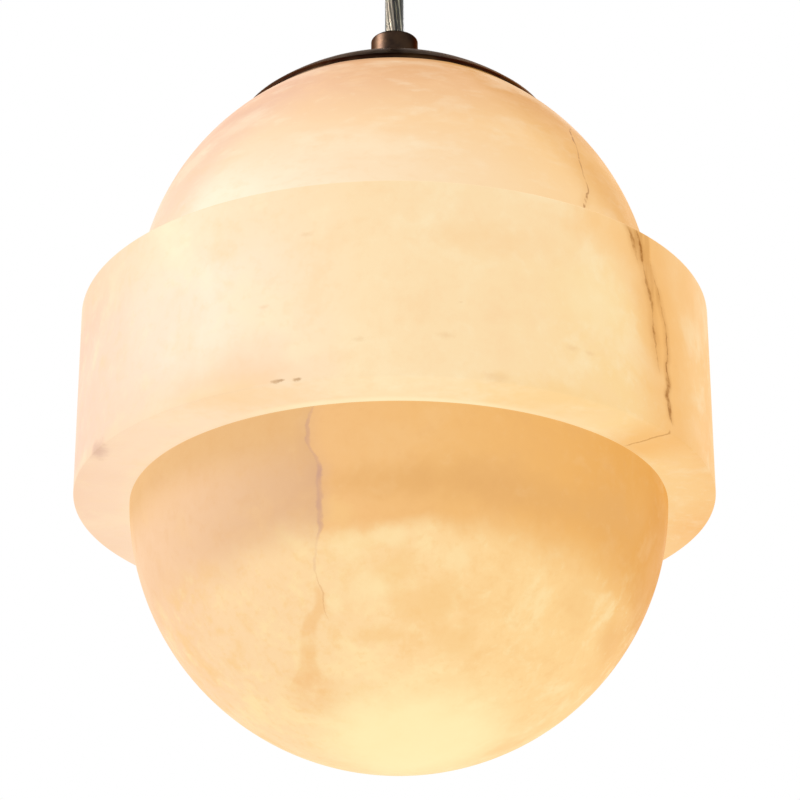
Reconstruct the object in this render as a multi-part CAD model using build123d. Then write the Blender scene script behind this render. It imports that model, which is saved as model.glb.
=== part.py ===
from build123d import *

import os
from math import acos, asin, cos, degrees, radians, sin, sqrt, tan

os.makedirs("parts", exist_ok=True)

# Stone pendant on a clear cord: an upper dome, a drum and a lower bowl of turned alabaster.
# Millimetres, +Z up, origin at the middle of the bracket face that meets the ceiling.

# Clearances
fit_gap = 0.08  # radial, a shaft in its hole
seat_gap = 0.3  # between curved faces that seat on each other
loose_gap = 0.4  # stone passing through stone, screw in a plain hole
rebate_gap = 0.6  # radial, the dome's foot in the drum's rebate
overcut = 1.0  # how far a cut runs past the face that it leaves

# Ceiling set
bracket_width = 22.0
bracket_thickness = 2.0
bracket_tab = 16.0
bracket_rounding = 3.0
slot_spacing = 80.0
slot_length = 26.0
slot_width = 4.5
wire_hole_radius = 8.0
canopy_radius = 60.0
canopy_depth = 26.0
canopy_wall = 1.5
canopy_rounding = 9.0
canopy_rim_gap = 0.5  # from the ceiling to the canopy's rim
side_screw_radius = 2.0
side_screw_drop = 9.0
side_screw_length = 9.0
side_knob_radius = 4.6
side_knob_length = 6.0
knob_chamfer = 0.6
knob_flutes = 12
knob_flute_radius = 0.7
knob_flute_offset = 0.35  # from the knob's skin out to a flute's centre
earth_screw_radius = 2.0
earth_screw_offset = 15.0
earth_head_radius = 3.5
earth_head_height = 2.2
earth_slot_width = 0.9
earth_slot_depth = 0.8
nut_bevel = 0.9

# Cord and its two grips
cord_radius = 4.5
cord_show = 85.0  # free cord between the grip under the canopy and the collar
grip_radius = 9.0
grip_length = 12.0
grip_neck_radius = 7.0
grip_neck_rise = 11.0
grip_flare_depth = 6.0
grip_flare_radius = 6.8
grip_rounding = 1.2
grip_sleeve_wall = 1.3
grip_sleeve_split = 1.0
grip_nut_flats = 19.0
grip_nut_height = 4.0
tail_rise = 2.5
lead_radius = 1.1
block_length = 29.0
block_width = 17.0
block_height = 13.0
block_offset = 29.0
block_rounding = 1.5
block_groove_width = 1.2
block_groove_depth = 2.0
block_screw_radius = 1.6
block_screw_sink = 2.5  # from the block's top down to a screw's
lead_pitch = 8.5
lead_gap = 0.1  # between two leads where the cord's jacket ends
lead_entry_height = 5.0
lead_bend = 3.4
lead_crest = 7.5  # how far the leads rise above the jacket's end
lead_drop_y = 11.25  # where they come down again

# Collar and cap
collar_radius = 11.0
collar_height = 21.6
collar_lip = 3.0
collar_mouth_radius = 5.6
collar_thread = 10.0
collar_rounding = 1.0
collar_mouth_rounding = 0.6
bushing_radius = 8.0
bushing_rounding = 1.0
cap_wall = 1.2
cap_angle = 38.85  # from the dome's axis to the cap's rim
cap_rim_gap = 0.6  # from the rim to the stone
cap_crown = 10.9  # how much smaller the cap's own radius is than the stone's
cap_roll = 8.7  # radius of its rolled edge
cap_roll_end = 73.0  # from the dome's axis to the rolled edge's slope at the rim
cap_land_radius = 13.0
cap_seat = 18.3  # along the stone, from the dome's hole to the cap's rim
cap_gasket_inset = 2.0  # outside the dome's hole
cap_gasket_width = 8.0

# Stone
drum_radius = 140.0
drum_height = 87.0
drum_wall = 12.5
drum_flange = 12.0
drum_rebate = 3.0
drum_edge = 0.8
drum_inner_rounding = 4.0
dome_ledge = 23.5  # flat top of the drum outside the dome
dome_wall = 10.0
dome_rise = 5.5  # the dome's centre above the drum's top face
dome_lap = 2.0  # how far the drum's top flange reaches in past the dome's wall
dome_gasket = 0.8
dome_gasket_inset = 1.0
bowl_ledge = 22.5  # flat foot of the drum outside the bowl
bowl_rise = 1.0  # the bowl's centre above the drum's foot
bowl_wall = 10.0
bowl_step = 2.7  # from the bowl's skin in to its neck
bowl_neck_wall = 9.8
bowl_shoulder = 2.0
stone_edge = 1.2

# Stem, carrier and bowl clips
stem_radius = 6.5
stem_bore = 4.8
stem_chamfer = 0.5
stem_foot_reach = 1.0  # stem left under its lower nut
stem_nut_flats = 22.0
stem_nut_height = 5.0
washer_radius = 14.0
washer_height = 1.2
carrier_thickness = 3.0
carrier_hub_radius = 27.0
carrier_arm_width = 18.0
carrier_tip_gap = 4.5  # from the drum's wall to an arm's end
carrier_tip_rounding = 6.0
carrier_root_rounding = 10.0
carrier_slot_width = 6.0
carrier_slot_length = 52.0
carrier_bead = 1.6
arm_pad_height = 2.0
arm_pad_length = 15.0
arm_pad_width = 15.0
arm_pad_rounding = 2.0
clip_width = 20.0
clip_thickness = 2.5
clip_inset = 1.0  # from the neck's bore to a clip's inner end
clip_end_gap = 3.5  # from the drum's wall to a clip's end
clip_rounding = 0.8
clip_lip = 2.0
clip_lip_height = 4.0
clip_pad = 1.5
clip_pad_inset = 1.0
clip_screw_radius = 2.0
clip_screw_reach = 8.0
clip_head_radius = 3.8
clip_head_height = 2.4
clip_head_rounding = 0.8
clip_socket_radius = 1.5
clip_socket_depth = 1.5
insert_radius = 3.2
insert_depth = 10.0
insert_length = 9.0

# Lamp cluster
cup_radius = 26.0
cup_height = 30.0
cup_wall = 1.5
cup_rounding = 4.0
cup_boss_radius = 3.5
cup_boss_height = 8.0
cup_web = 2.0
plate_thickness = 2.0
plate_screw_radius = 1.5
plate_screw_ring = 19.0
plate_screw_reach = 6.0
plate_head_radius = 2.8
plate_head_height = 1.8
plate_slot_width = 0.7
plate_slot_depth = 0.7
wing_width = 18.0
wing_length = 26.0
wing_rounding = 5.0
wing_margin = 1.0  # from the holder's flange to the wing's end
wing_root_gap = 1.5  # flat between the cup and the bend of a wing
lamp_tilt = 32.0
lamp_count = 3
holder_radius = 8.6
holder_height = 17.0
holder_flange_radius = 10.0
holder_flange = 3.0
holder_rounding = 1.0
holder_notch_width = 5.0
holder_notch_length = 6.0
holder_notch_depth = 1.0
pin_spacing = 9.0
pin_radius = 0.55
pin_hole_radius = 1.1
pin_length = 14.0
pin_end_gap = 1.0
bulb_base_length = 16.0
bulb_base_width = 9.0
bulb_base_height = 7.0
bulb_base_rounding = 2.0
bulb_radius = 8.0
bulb_tip_flat = 0.8
bulb_length = 40.0
lamp_lead_radius = 1.7
lamp_lead_bend = 5.0
lamp_lead_drop = 13.0  # how far above the lamp plate the leads leave the cup

# Radii of the stones, and of what passes through them
dome_radius = drum_radius - dome_ledge
dome_hole_radius = dome_radius * sin(radians(cap_angle) - cap_seat / dome_radius)
drum_inner = drum_radius - drum_wall
drum_top_opening = dome_radius - dome_wall - dome_lap
bowl_radius = drum_radius - bowl_ledge
bowl_neck_radius = bowl_radius - bowl_step
bowl_opening = bowl_neck_radius + loose_gap
neck_inner_radius = bowl_neck_radius - bowl_neck_wall
clip_screw_ring = bowl_neck_radius - bowl_neck_wall / 2
carrier_tip_radius = drum_inner - carrier_tip_gap
clip_reach = drum_inner - clip_end_gap

# The cap's profile: a crown and a rolled edge, with heights over the dome's centre
cap_radius = dome_radius - cap_crown
cap_rim_radius = (dome_radius + cap_rim_gap) * sin(radians(cap_angle))
cap_rim_rise = (dome_radius + cap_rim_gap) * cos(radians(cap_angle))
cap_roll_radius = cap_rim_radius - cap_roll * sin(radians(cap_roll_end))
cap_roll_rise = cap_rim_rise - cap_roll * cos(radians(cap_roll_end))
cap_roll_start = degrees(asin(cap_roll_radius / (cap_radius - cap_roll)))
cap_rise = cap_roll_rise - (cap_radius - cap_roll) * cos(radians(cap_roll_start))

# Levels, worked out from the ceiling down
grip_mouth_z = -(canopy_depth + grip_length)
swing_z = grip_mouth_z + grip_flare_depth
tail_foot_z = swing_z + cord_radius + seat_gap
canopy_floor_z = -canopy_depth + canopy_wall
neck_top_z = -canopy_depth + grip_neck_rise
tail_top_z = neck_top_z + tail_rise
collar_top_z = grip_mouth_z - cord_show
cap_land_z = collar_top_z - collar_height
cap_z = cap_land_z - sqrt(cap_radius**2 - cap_land_radius**2)
dome_z = cap_z - cap_rise
drum_top_z = dome_z - dome_rise
drum_bottom_z = drum_top_z - drum_height
dome_foot_z = drum_top_z - drum_rebate + dome_gasket
bowl_z = drum_bottom_z + bowl_rise
stem_top_z = cap_land_z + collar_thread - loose_gap
flange_under_z = drum_top_z - drum_flange
carrier_top_z = flange_under_z - arm_pad_height
carrier_under_z = carrier_top_z - carrier_thickness
cup_under_z = carrier_under_z - cup_height
plate_under_z = cup_under_z - plate_thickness
stem_foot_z = carrier_under_z - cup_wall - washer_height - stem_nut_height - stem_foot_reach
flange_over_z = drum_bottom_z + drum_flange
neck_rim_z = flange_over_z + clip_pad
wing_start = cup_radius + wing_root_gap
lead_exit_z = cup_under_z + lamp_lead_drop
arm_angles = [90.0 + 120.0 * arm for arm in range(3)]
lamp_angles = [30.0 + 360.0 / lamp_count * lamp for lamp in range(lamp_count)]
plate_screw_angles = [angle + 180.0 / lamp_count for angle in lamp_angles]


standing = (Align.CENTER, Align.CENTER, Align.MIN)
hanging = (Align.CENTER, Align.CENTER, Align.MAX)
outward = (Align.MIN, Align.CENTER, Align.MIN)


def on_sphere(radius, centre_z, angle):
    # Angle from +Z, in degrees, in the XZ plane
    return (radius * sin(radians(angle)), 0, centre_z + radius * cos(radians(angle)))


def sphere_arc(radius, centre_z, start, end):
    middle = on_sphere(radius, centre_z, (start + end) / 2)
    return ThreePointArc(on_sphere(radius, centre_z, start), middle, on_sphere(radius, centre_z, end))


def profile(*edges):
    # Closed outline in the XZ plane, joined by straight lines where two edges don't meet
    joined = []
    for edge, following in zip(edges, edges[1:] + edges[:1]):
        joined.append(edge)
        if (edge @ 1 - following @ 0).length > 1e-6:
            joined.append(Line(edge @ 1, following @ 0))
    return make_face(joined)


def points_profile(*points):
    return make_face(Polyline([(x, 0, z) for x, z in points], close=True))


def rounded(face, x, z, radius):
    corner = face.vertices().sort_by_distance((x, 0, z))[0]
    return fillet(corner, radius)


def turned(face):
    return revolve(face, Axis.Z)


def tube(outer, inner, low, high):
    return turned(points_profile((inner, low), (outer, low), (outer, high), (inner, high)))


def rod(radius, low, high):
    return Pos(0, 0, low) * Cylinder(radius, high - low, align=standing)


def hex_nut(flats, bore, low, height):
    high = low + height
    corner = flats / sqrt(3)
    blank = extrude(Pos(0, 0, low) * RegularPolygon(flats / 2, 6, major_radius=False), height)
    bevelled = turned(
        points_profile(
            (0, low),
            (corner - nut_bevel, low),
            (corner, low + nut_bevel),
            (corner, high - nut_bevel),
            (corner - nut_bevel, high),
            (0, high),
        )
    )
    return (blank & bevelled) - rod(bore, low - overcut, high + overcut)


def slotted_head(radius, height, slot_width, slot_depth):
    # Screw head hanging from the XY plane, slotted across its lower face
    head = Cylinder(radius, height, align=hanging)
    return head - Pos(0, 0, -height) * Box(2 * (radius + overcut), slot_width, 2 * slot_depth)


def around(angles, piece):
    return [Rot(0, 0, angle) * piece for angle in angles]


def wire(route, bend, radius):
    # Round lead along straight runs joined by arcs
    path = FilletPolyline(*route, radius=bend)
    start = Plane(origin=path @ 0, z_dir=path % 0)
    return sweep(start * Circle(radius), path)


def save(name, *solids):
    shape = solids[0] if len(solids) == 1 else Compound(children=list(solids))
    shape.label = name
    export_step(shape, f"parts/{name}.step")


# Ceiling set ---------------------------------------------------------------


def ceiling_bracket():
    # Steel crossbar, slotted for the box screws, with a threaded tab down at each end
    half = bracket_half_length()
    bar = Pos(0, 0, -bracket_thickness / 2) * Box(2 * half, bracket_width, bracket_thickness)
    for side in (-1, 1):
        bar += Pos(side * (half - bracket_thickness / 2), 0, -bracket_tab / 2) * Box(
            bracket_thickness, bracket_width, bracket_tab
        )
        bar -= Pos(side * slot_spacing / 2, 0, -bracket_thickness) * extrude(
            SlotOverall(slot_length, slot_width), bracket_thickness
        )
        bar -= (
            Pos(side * half, 0, -side_screw_drop)
            * Rot(0, 90, 0)
            * Cylinder(side_screw_radius + fit_gap, 4 * bracket_thickness)
        )
    bar -= rod(wire_hole_radius, -bracket_thickness, 0)
    bar -= Pos(earth_screw_offset, 0, 0) * rod(earth_screw_radius + fit_gap, -bracket_thickness, 0)
    tab_corners = bar.edges().filter_by(Axis.X).group_by(Axis.Z)[0]
    return fillet(tab_corners, bracket_rounding)


def bracket_half_length():
    inner = canopy_radius - canopy_wall
    return sqrt(inner**2 - (bracket_width / 2) ** 2) - loose_gap


def knurled_knob(radius, length):
    # Knob with shallow flutes, its flat back on the XY plane
    knob = Cylinder(radius, length, align=standing)
    knob = chamfer(knob.edges().sort_by(Axis.Z)[-1], knob_chamfer)
    flute = Cylinder(knob_flute_radius, length * 3)
    for turn in range(knob_flutes):
        knob -= Rot(0, 0, 360 / knob_flutes * turn) * Pos(radius + knob_flute_offset, 0, 0) * flute
    return knob


def side_screws():
    knob_back = canopy_radius + seat_gap
    knob = Pos(knob_back, 0, 0) * Rot(0, 90, 0) * knurled_knob(side_knob_radius, side_knob_length)
    shank = Pos(knob_back, 0, 0) * Rot(0, -90, 0) * Cylinder(
        side_screw_radius, side_screw_length, align=standing
    )
    screw = Pos(0, 0, -side_screw_drop) * (knob + shank)
    return around((0, 180), screw)


def earth_screw():
    # Slotted screw under the bracket, for the building's earth wire
    head = slotted_head(earth_head_radius, earth_head_height, earth_slot_width, earth_slot_depth)
    shank = Cylinder(earth_screw_radius, bracket_thickness, align=standing)
    return Pos(earth_screw_offset, 0, -bracket_thickness) * (head + shank)


def canopy():
    # Spun dish, open at the ceiling, with a slot down from the rim for each side screw
    outer = canopy_radius
    inner = canopy_radius - canopy_wall
    face = points_profile(
        (grip_neck_radius + loose_gap / 2, -canopy_depth),
        (outer, -canopy_depth),
        (outer, -canopy_rim_gap),
        (inner, -canopy_rim_gap),
        (inner, canopy_floor_z),
        (grip_neck_radius + loose_gap / 2, canopy_floor_z),
    )
    face = rounded(face, outer, -canopy_depth, canopy_rounding)
    face = rounded(face, inner, canopy_floor_z, canopy_rounding - canopy_wall)
    dish = turned(face)
    slot_half = side_screw_radius + loose_gap
    for side in (-1, 1):
        slot = Pos(side * outer, 0, -side_screw_drop) * Rot(0, 90, 0) * Cylinder(slot_half, 6 * canopy_wall)
        slot += Pos(side * outer, 0, -side_screw_drop / 2) * Box(
            6 * canopy_wall, 2 * slot_half, side_screw_drop
        )
        dish -= slot
    return dish


def canopy_cord_grip():
    # Bronze gland through the canopy, bell-mouthed below so that the cord can swing
    bore = cord_radius + grip_sleeve_wall + fit_gap
    throat = cord_radius + 2 * loose_gap
    face = points_profile(
        (grip_flare_radius, grip_mouth_z),
        (grip_radius, grip_mouth_z),
        (grip_radius, -canopy_depth),
        (grip_neck_radius, -canopy_depth),
        (grip_neck_radius, neck_top_z),
        (bore, neck_top_z),
        (bore, tail_foot_z),
        (throat, tail_foot_z),
        (throat, swing_z),
    )
    face = rounded(face, grip_radius, grip_mouth_z, grip_rounding)
    return turned(face)


def grip_sleeve():
    # Split nylon sleeve that the gland closes on the cord
    outer = cord_radius + grip_sleeve_wall
    low = tail_foot_z + seat_gap
    split = Pos(0, 0, low) * Box(2 * outer, grip_sleeve_split, neck_top_z - low, align=outward)
    return tube(outer, cord_radius + fit_gap / 2, low, neck_top_z) - split


def grip_lock_nut():
    return hex_nut(grip_nut_flats, grip_neck_radius + fit_gap, canopy_floor_z, grip_nut_height)


def cord_tail():
    return rod(cord_radius, tail_foot_z, tail_top_z)


def terminal_block():
    # Three-way block that lies on the canopy's floor, with its screw wells on top
    base_z = canopy_floor_z
    body = Pos(0, block_offset, base_z + block_height / 2) * Box(block_length, block_width, block_height)
    body = fillet(body.edges().filter_by(Axis.Z), block_rounding)
    for way in (-1, 0, 1):
        well = Pos(way * lead_pitch, block_offset, base_z + block_height)
        for row in (-1, 1):
            body -= well * Pos(0, row * block_width / 4, 0) * Cylinder(
                block_screw_radius + fit_gap, 2 * (block_height - lead_entry_height)
            )
    for gap in (-0.5, 0.5):
        body -= Pos(gap * lead_pitch, block_offset, base_z + block_height) * Box(
            block_groove_width, block_width, 2 * block_groove_depth
        )
    return body


def terminal_screws():
    screws = []
    top_z = canopy_floor_z + block_height - block_screw_sink
    for way in (-1, 0, 1):
        for row in (-1, 1):
            place = Pos(way * lead_pitch, block_offset + row * block_width / 4, 0)
            screws.append(place * rod(block_screw_radius, canopy_floor_z + lead_entry_height, top_z))
    return screws


def supply_leads():
    # The cord's three conductors, from the end of its jacket over into the terminal block
    leads = []
    entry_y = block_offset - block_width / 2
    entry_z = canopy_floor_z + lead_entry_height
    crest_z = tail_top_z + lead_crest
    for way in (-1, 0, 1):
        start_x = way * (2 * lead_radius + lead_gap)
        end_x = way * lead_pitch
        route = (
            (start_x, 0, tail_top_z),
            (start_x, 0, crest_z),
            (end_x, lead_drop_y, crest_z),
            (end_x, lead_drop_y, entry_z),
            (end_x, entry_y, entry_z),
        )
        leads.append(wire(route, lead_bend, lead_radius))
    return leads


# Cord, collar and cap -------------------------------------------------------


def cord():
    # The end in the gland is a half ball about the point that the cord swings on
    straight = rod(cord_radius, stem_top_z, swing_z)
    return straight + Pos(0, 0, swing_z) * Sphere(cord_radius)


def collar():
    # Cover nut on the stem's top thread, with a lip over the rubber bushing
    thread_top_z = cap_land_z + collar_thread
    face = points_profile(
        (stem_radius + fit_gap, cap_land_z),
        (collar_radius, cap_land_z),
        (collar_radius, collar_top_z),
        (collar_mouth_radius, collar_top_z),
        (collar_mouth_radius, collar_top_z - collar_lip),
        (bushing_radius + fit_gap, collar_top_z - collar_lip),
        (bushing_radius + fit_gap, thread_top_z),
        (stem_radius + fit_gap, thread_top_z),
    )
    face = rounded(face, collar_radius, collar_top_z, collar_rounding)
    face = rounded(face, collar_mouth_radius, collar_top_z, collar_mouth_rounding)
    return turned(face)


def collar_bushing():
    low = cap_land_z + collar_thread + fit_gap
    high = collar_top_z - collar_lip - fit_gap
    bore = cord_radius + seat_gap
    face = points_profile((bore, low), (bushing_radius, low), (bushing_radius, high), (bore, high))
    face = rounded(face, bushing_radius, low, bushing_rounding)
    return turned(face)


def cap_roll_arc(radius, start, end):
    return Pos(cap_roll_radius, 0, 0) * sphere_arc(radius, dome_z + cap_roll_rise, start, end)


def cap():
    # Spun dish over the dome's top hole, with a flat land for the collar. Its edge rolls down to
    # the stone and ends along it
    inner = cap_radius - cap_wall
    hole = stem_radius + loose_gap
    level = 90.0
    land_under_z = cap_land_z - cap_wall
    face = profile(
        Line((hole, 0, land_under_z), (hole, 0, cap_land_z)),
        sphere_arc(cap_radius, cap_z, degrees(asin(cap_land_radius / cap_radius)), cap_roll_start),
        cap_roll_arc(cap_roll, cap_roll_start, level),
        cap_roll_arc(cap_roll - cap_wall, level, cap_roll_start),
        sphere_arc(inner, cap_z, cap_roll_start, degrees(acos((land_under_z - cap_z) / inner))),
    )
    return turned(face) - Pos(0, 0, dome_z) * Sphere(dome_radius + cap_rim_gap)


def cap_gasket():
    # Felt wedge between the cap and the dome, just outside the dome's hole
    start = dome_hole_radius + cap_gasket_inset
    end = start + cap_gasket_width
    outer = cap_radius - cap_wall - fit_gap
    inner = dome_radius + seat_gap
    return turned(
        profile(
            sphere_arc(outer, cap_z, degrees(asin(start / outer)), degrees(asin(end / outer))),
            sphere_arc(inner, dome_z, degrees(asin(end / inner)), degrees(asin(start / inner))),
        )
    )


# Stone ------------------------------------------------------------------------


def upper_dome():
    inner = dome_radius - dome_wall
    foot = dome_foot_z - dome_z
    face = profile(
        sphere_arc(
            dome_radius,
            dome_z,
            degrees(asin(dome_hole_radius / dome_radius)),
            degrees(acos(foot / dome_radius)),
        ),
        sphere_arc(
            inner,
            dome_z,
            degrees(acos(foot / inner)),
            degrees(asin(dome_hole_radius / inner)),
        ),
    )
    hole_top = dome_z + sqrt(dome_radius**2 - dome_hole_radius**2)
    hole_under = dome_z + sqrt(inner**2 - dome_hole_radius**2)
    face = rounded(face, dome_hole_radius, hole_top, stone_edge)
    face = rounded(face, dome_hole_radius, hole_under, stone_edge)
    return turned(face)


def drum_rebate_radius():
    return sqrt(dome_radius**2 - dome_rise**2) + rebate_gap


def dome_seat_gasket():
    low = drum_top_z - drum_rebate
    outer = sqrt(dome_radius**2 - (dome_foot_z - dome_z) ** 2) - dome_gasket_inset
    return tube(outer, dome_radius - dome_wall, low, low + dome_gasket)


def drum_band():
    # Hollow drum turned from one block: both flanges stay, the dome's seat is cut in the top one
    inner = drum_inner
    rebate_z = drum_top_z - drum_rebate
    rebate = drum_rebate_radius()
    face = points_profile(
        (drum_top_opening, flange_under_z),
        (drum_top_opening, rebate_z),
        (rebate, rebate_z),
        (rebate, drum_top_z),
        (drum_radius, drum_top_z),
        (drum_radius, drum_bottom_z),
        (bowl_opening, drum_bottom_z),
        (bowl_opening, flange_over_z),
        (inner, flange_over_z),
        (inner, flange_under_z),
    )
    face = rounded(face, drum_radius, drum_top_z, drum_edge)
    face = rounded(face, drum_radius, drum_bottom_z, drum_edge)
    face = rounded(face, inner, flange_over_z, drum_inner_rounding)
    face = rounded(face, inner, flange_under_z, drum_inner_rounding)
    face = rounded(face, bowl_opening, drum_bottom_z, stone_edge / 2)
    return turned(face)


def lower_bowl():
    # Hemisphere with a neck that rises through the drum's lower flange
    inner = bowl_radius - bowl_wall
    shoulder_z = drum_bottom_z - loose_gap
    shoulder_angle = degrees(acos((shoulder_z - bowl_z) / bowl_radius))
    inner_angle = 180 - degrees(asin(neck_inner_radius / inner))
    face = profile(
        sphere_arc(bowl_radius, bowl_z, shoulder_angle, 180),
        sphere_arc(inner, bowl_z, 180, inner_angle),
        Line((neck_inner_radius, 0, neck_rim_z), (bowl_neck_radius, 0, neck_rim_z)),
        Line((bowl_neck_radius, 0, neck_rim_z), (bowl_neck_radius, 0, shoulder_z)),
    )
    face = rounded(face, bowl_radius, shoulder_z, bowl_shoulder)
    bowl = turned(face)
    socket = Pos(clip_screw_ring, 0, 0) * rod(insert_radius, neck_rim_z - insert_depth, neck_rim_z)
    for drilled in around(arm_angles, socket):
        bowl -= drilled
    return bowl


# Bowl clips ---------------------------------------------------------------------


def bowl_clips():
    # Brass clips screwed on the neck's rim, that hook over the drum's lower flange
    low = neck_rim_z
    start = neck_inner_radius + clip_inset
    length = clip_reach - start
    clip = Pos(start, 0, low) * Box(length, clip_width, clip_thickness, align=outward)
    lip = Pos(clip_reach - clip_lip, 0, low + clip_thickness) * Box(
        clip_lip, clip_width, clip_lip_height, align=outward
    )
    clip = fillet((clip + lip).edges().filter_by(Axis.Z), clip_rounding)
    hole = rod(clip_screw_radius + loose_gap, low, low + clip_thickness)
    clip -= Pos(clip_screw_ring, 0, 0) * hole
    return around(arm_angles, clip)


def clip_pads():
    start = bowl_opening + clip_pad_inset
    end = clip_reach - clip_pad_inset
    width = clip_width - 2 * clip_pad_inset
    pad = Pos(start, 0, flange_over_z) * Box(end - start, width, clip_pad, align=outward)
    return around(arm_angles, pad)


def clip_inserts():
    # Threaded brass inserts bonded in the stone
    low = neck_rim_z - insert_length
    insert = tube(insert_radius - fit_gap, clip_screw_radius + fit_gap, low, neck_rim_z)
    return around(arm_angles, Pos(clip_screw_ring, 0, 0) * insert)


def clip_screws():
    seat_z = neck_rim_z + clip_thickness
    shank = rod(clip_screw_radius, neck_rim_z - clip_screw_reach, seat_z)
    head = rod(clip_head_radius, seat_z, seat_z + clip_head_height)
    head = fillet(head.edges().sort_by(Axis.Z)[-1], clip_head_rounding)
    socket = extrude(RegularPolygon(clip_socket_radius, 6), -clip_socket_depth)
    head -= Pos(0, 0, seat_z + clip_head_height) * socket
    return around(arm_angles, Pos(clip_screw_ring, 0, 0) * (head + shank))


# Stem and carrier ----------------------------------------------------------------


def stem():
    plain = tube(stem_radius, stem_bore, stem_foot_z, stem_top_z)
    mid_wall = (stem_radius + stem_bore) / 2
    ends = plain.edges().filter_by(GeomType.CIRCLE).filter_by(lambda edge: edge.radius > mid_wall)
    return chamfer(ends, stem_chamfer)


def stem_cord():
    # The same cord, held inside the stem as far as the wiring cup
    return rod(cord_radius, stem_foot_z, stem_top_z)


def stem_nuts():
    bore = stem_radius + fit_gap
    over = hex_nut(stem_nut_flats, bore, carrier_top_z + washer_height, stem_nut_height)
    under_z = carrier_under_z - cup_wall - washer_height - stem_nut_height
    return [over, hex_nut(stem_nut_flats, bore, under_z, stem_nut_height)]


def stem_washers():
    bore = stem_radius + loose_gap
    over = tube(washer_radius, bore, carrier_top_z, carrier_top_z + washer_height)
    under_z = carrier_under_z - cup_wall
    return [over, tube(washer_radius, bore, under_z - washer_height, under_z)]


def carrier():
    # Three-arm steel plate under the drum's top flange, each arm slotted and stiffened by two beads
    sketch = Circle(carrier_hub_radius)
    for angle in arm_angles:
        arm = Pos(carrier_tip_radius / 2, 0) * Rectangle(carrier_tip_radius, carrier_arm_width)
        sketch += Rot(0, 0, angle) * arm
    halfway = (carrier_hub_radius + carrier_tip_radius) / 2
    roots = sketch.vertices().filter_by(lambda corner: Vector(corner.X, corner.Y).length < halfway)
    sketch = fillet(roots, carrier_root_rounding)
    tips = sketch.vertices().filter_by(lambda corner: Vector(corner.X, corner.Y).length > halfway)
    sketch = fillet(tips, carrier_tip_rounding)
    plate = extrude(Pos(0, 0, carrier_under_z) * sketch, carrier_thickness)
    plate -= rod(stem_radius + loose_gap, carrier_under_z - overcut, carrier_top_z + overcut)
    slot_x = (carrier_hub_radius + carrier_tip_radius - arm_pad_length) / 2
    bead_y = (carrier_arm_width + carrier_slot_width) / 4
    for angle in arm_angles:
        slot = Pos(slot_x, 0, carrier_under_z) * extrude(
            SlotOverall(carrier_slot_length, carrier_slot_width), carrier_thickness
        )
        plate -= Rot(0, 0, angle) * slot
        for side in (-1, 1):
            bead = Pos(slot_x, side * bead_y, carrier_under_z) * Rot(0, 90, 0) * Cylinder(
                carrier_bead, carrier_slot_length
            )
            plate += Rot(0, 0, angle) * bead
    return plate


def arm_pads():
    middle = (drum_top_opening + carrier_tip_radius) / 2
    pad = Pos(middle, 0, carrier_top_z + arm_pad_height / 2) * Box(
        arm_pad_length, arm_pad_width, arm_pad_height
    )
    pad = fillet(pad.edges().filter_by(Axis.Z), arm_pad_rounding)
    return around(arm_angles, pad)


# Lamp cluster -----------------------------------------------------------------------


def wiring_cup():
    # Steel cup clamped under the carrier, with a wire hole towards each lamp
    hole = stem_radius + loose_gap
    inner = cup_radius - cup_wall
    face = points_profile(
        (hole, carrier_under_z),
        (cup_radius, carrier_under_z),
        (cup_radius, cup_under_z),
        (inner, cup_under_z),
        (inner, carrier_under_z - cup_wall),
        (hole, carrier_under_z - cup_wall),
    )
    face = rounded(face, cup_radius, carrier_under_z, cup_rounding)
    face = rounded(face, inner, carrier_under_z - cup_wall, cup_rounding - cup_wall)
    cup = turned(face)
    wire_hole = Rot(0, 90, 0) * Cylinder(lamp_lead_radius + loose_gap, 6 * cup_wall)
    for opening in around(lamp_angles, Pos(cup_radius, 0, lead_exit_z) * wire_hole):
        cup -= opening
    boss = Pos(plate_screw_ring, 0, 0) * tube(
        cup_boss_radius, plate_screw_radius + fit_gap, cup_under_z, cup_under_z + cup_boss_height
    )
    web_start = plate_screw_ring + (cup_boss_radius + plate_screw_radius) / 2
    web_end = cup_radius - cup_wall / 2
    web = Pos(web_start, 0, cup_under_z) * Box(
        web_end - web_start, cup_web, cup_boss_height, align=outward
    )
    for post in around(plate_screw_angles, boss + web):
        cup += post
    return cup


def wing_hinge():
    # Lower edge of the bend where a wing leaves the lamp plate
    return Pos(wing_start, 0, plate_under_z) * Rot(0, -lamp_tilt, 0)


def lamp_place():
    # Local frame of a lamp: origin under its wing, -Z along the lamp
    return wing_hinge() * Pos(wing_length - holder_flange_radius - wing_margin, 0, 0)


def lamp_plate():
    # Cover of the wiring cup, with a wing bent up for each lamp holder
    plate = rod(cup_radius, plate_under_z, cup_under_z)
    blank = Box(wing_length, wing_width, plate_thickness, align=outward)
    blank = fillet(blank.edges().filter_by(Axis.Z).group_by(Axis.X)[-1], wing_rounding)
    root_start = cup_radius / 2
    root = Pos(root_start, 0, plate_under_z) * Box(
        wing_start - root_start, wing_width, plate_thickness, align=outward
    )
    wing = root + wing_hinge() * blank
    wing -= lamp_place() * Cylinder(lamp_lead_radius + loose_gap, 6 * plate_thickness)
    for bent in around(lamp_angles, wing):
        plate += bent
    screw_hole = rod(plate_screw_radius + loose_gap, plate_under_z - overcut, cup_under_z + overcut)
    for hole in around(plate_screw_angles, Pos(plate_screw_ring, 0, 0) * screw_hole):
        plate -= hole
    return plate


def lamp_plate_screws():
    shank = rod(plate_screw_radius, plate_under_z, cup_under_z + plate_screw_reach)
    head = Pos(0, 0, plate_under_z) * slotted_head(
        plate_head_radius, plate_head_height, plate_slot_width, plate_slot_depth
    )
    return around(plate_screw_angles, Pos(plate_screw_ring, 0, 0) * (head + shank))


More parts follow.
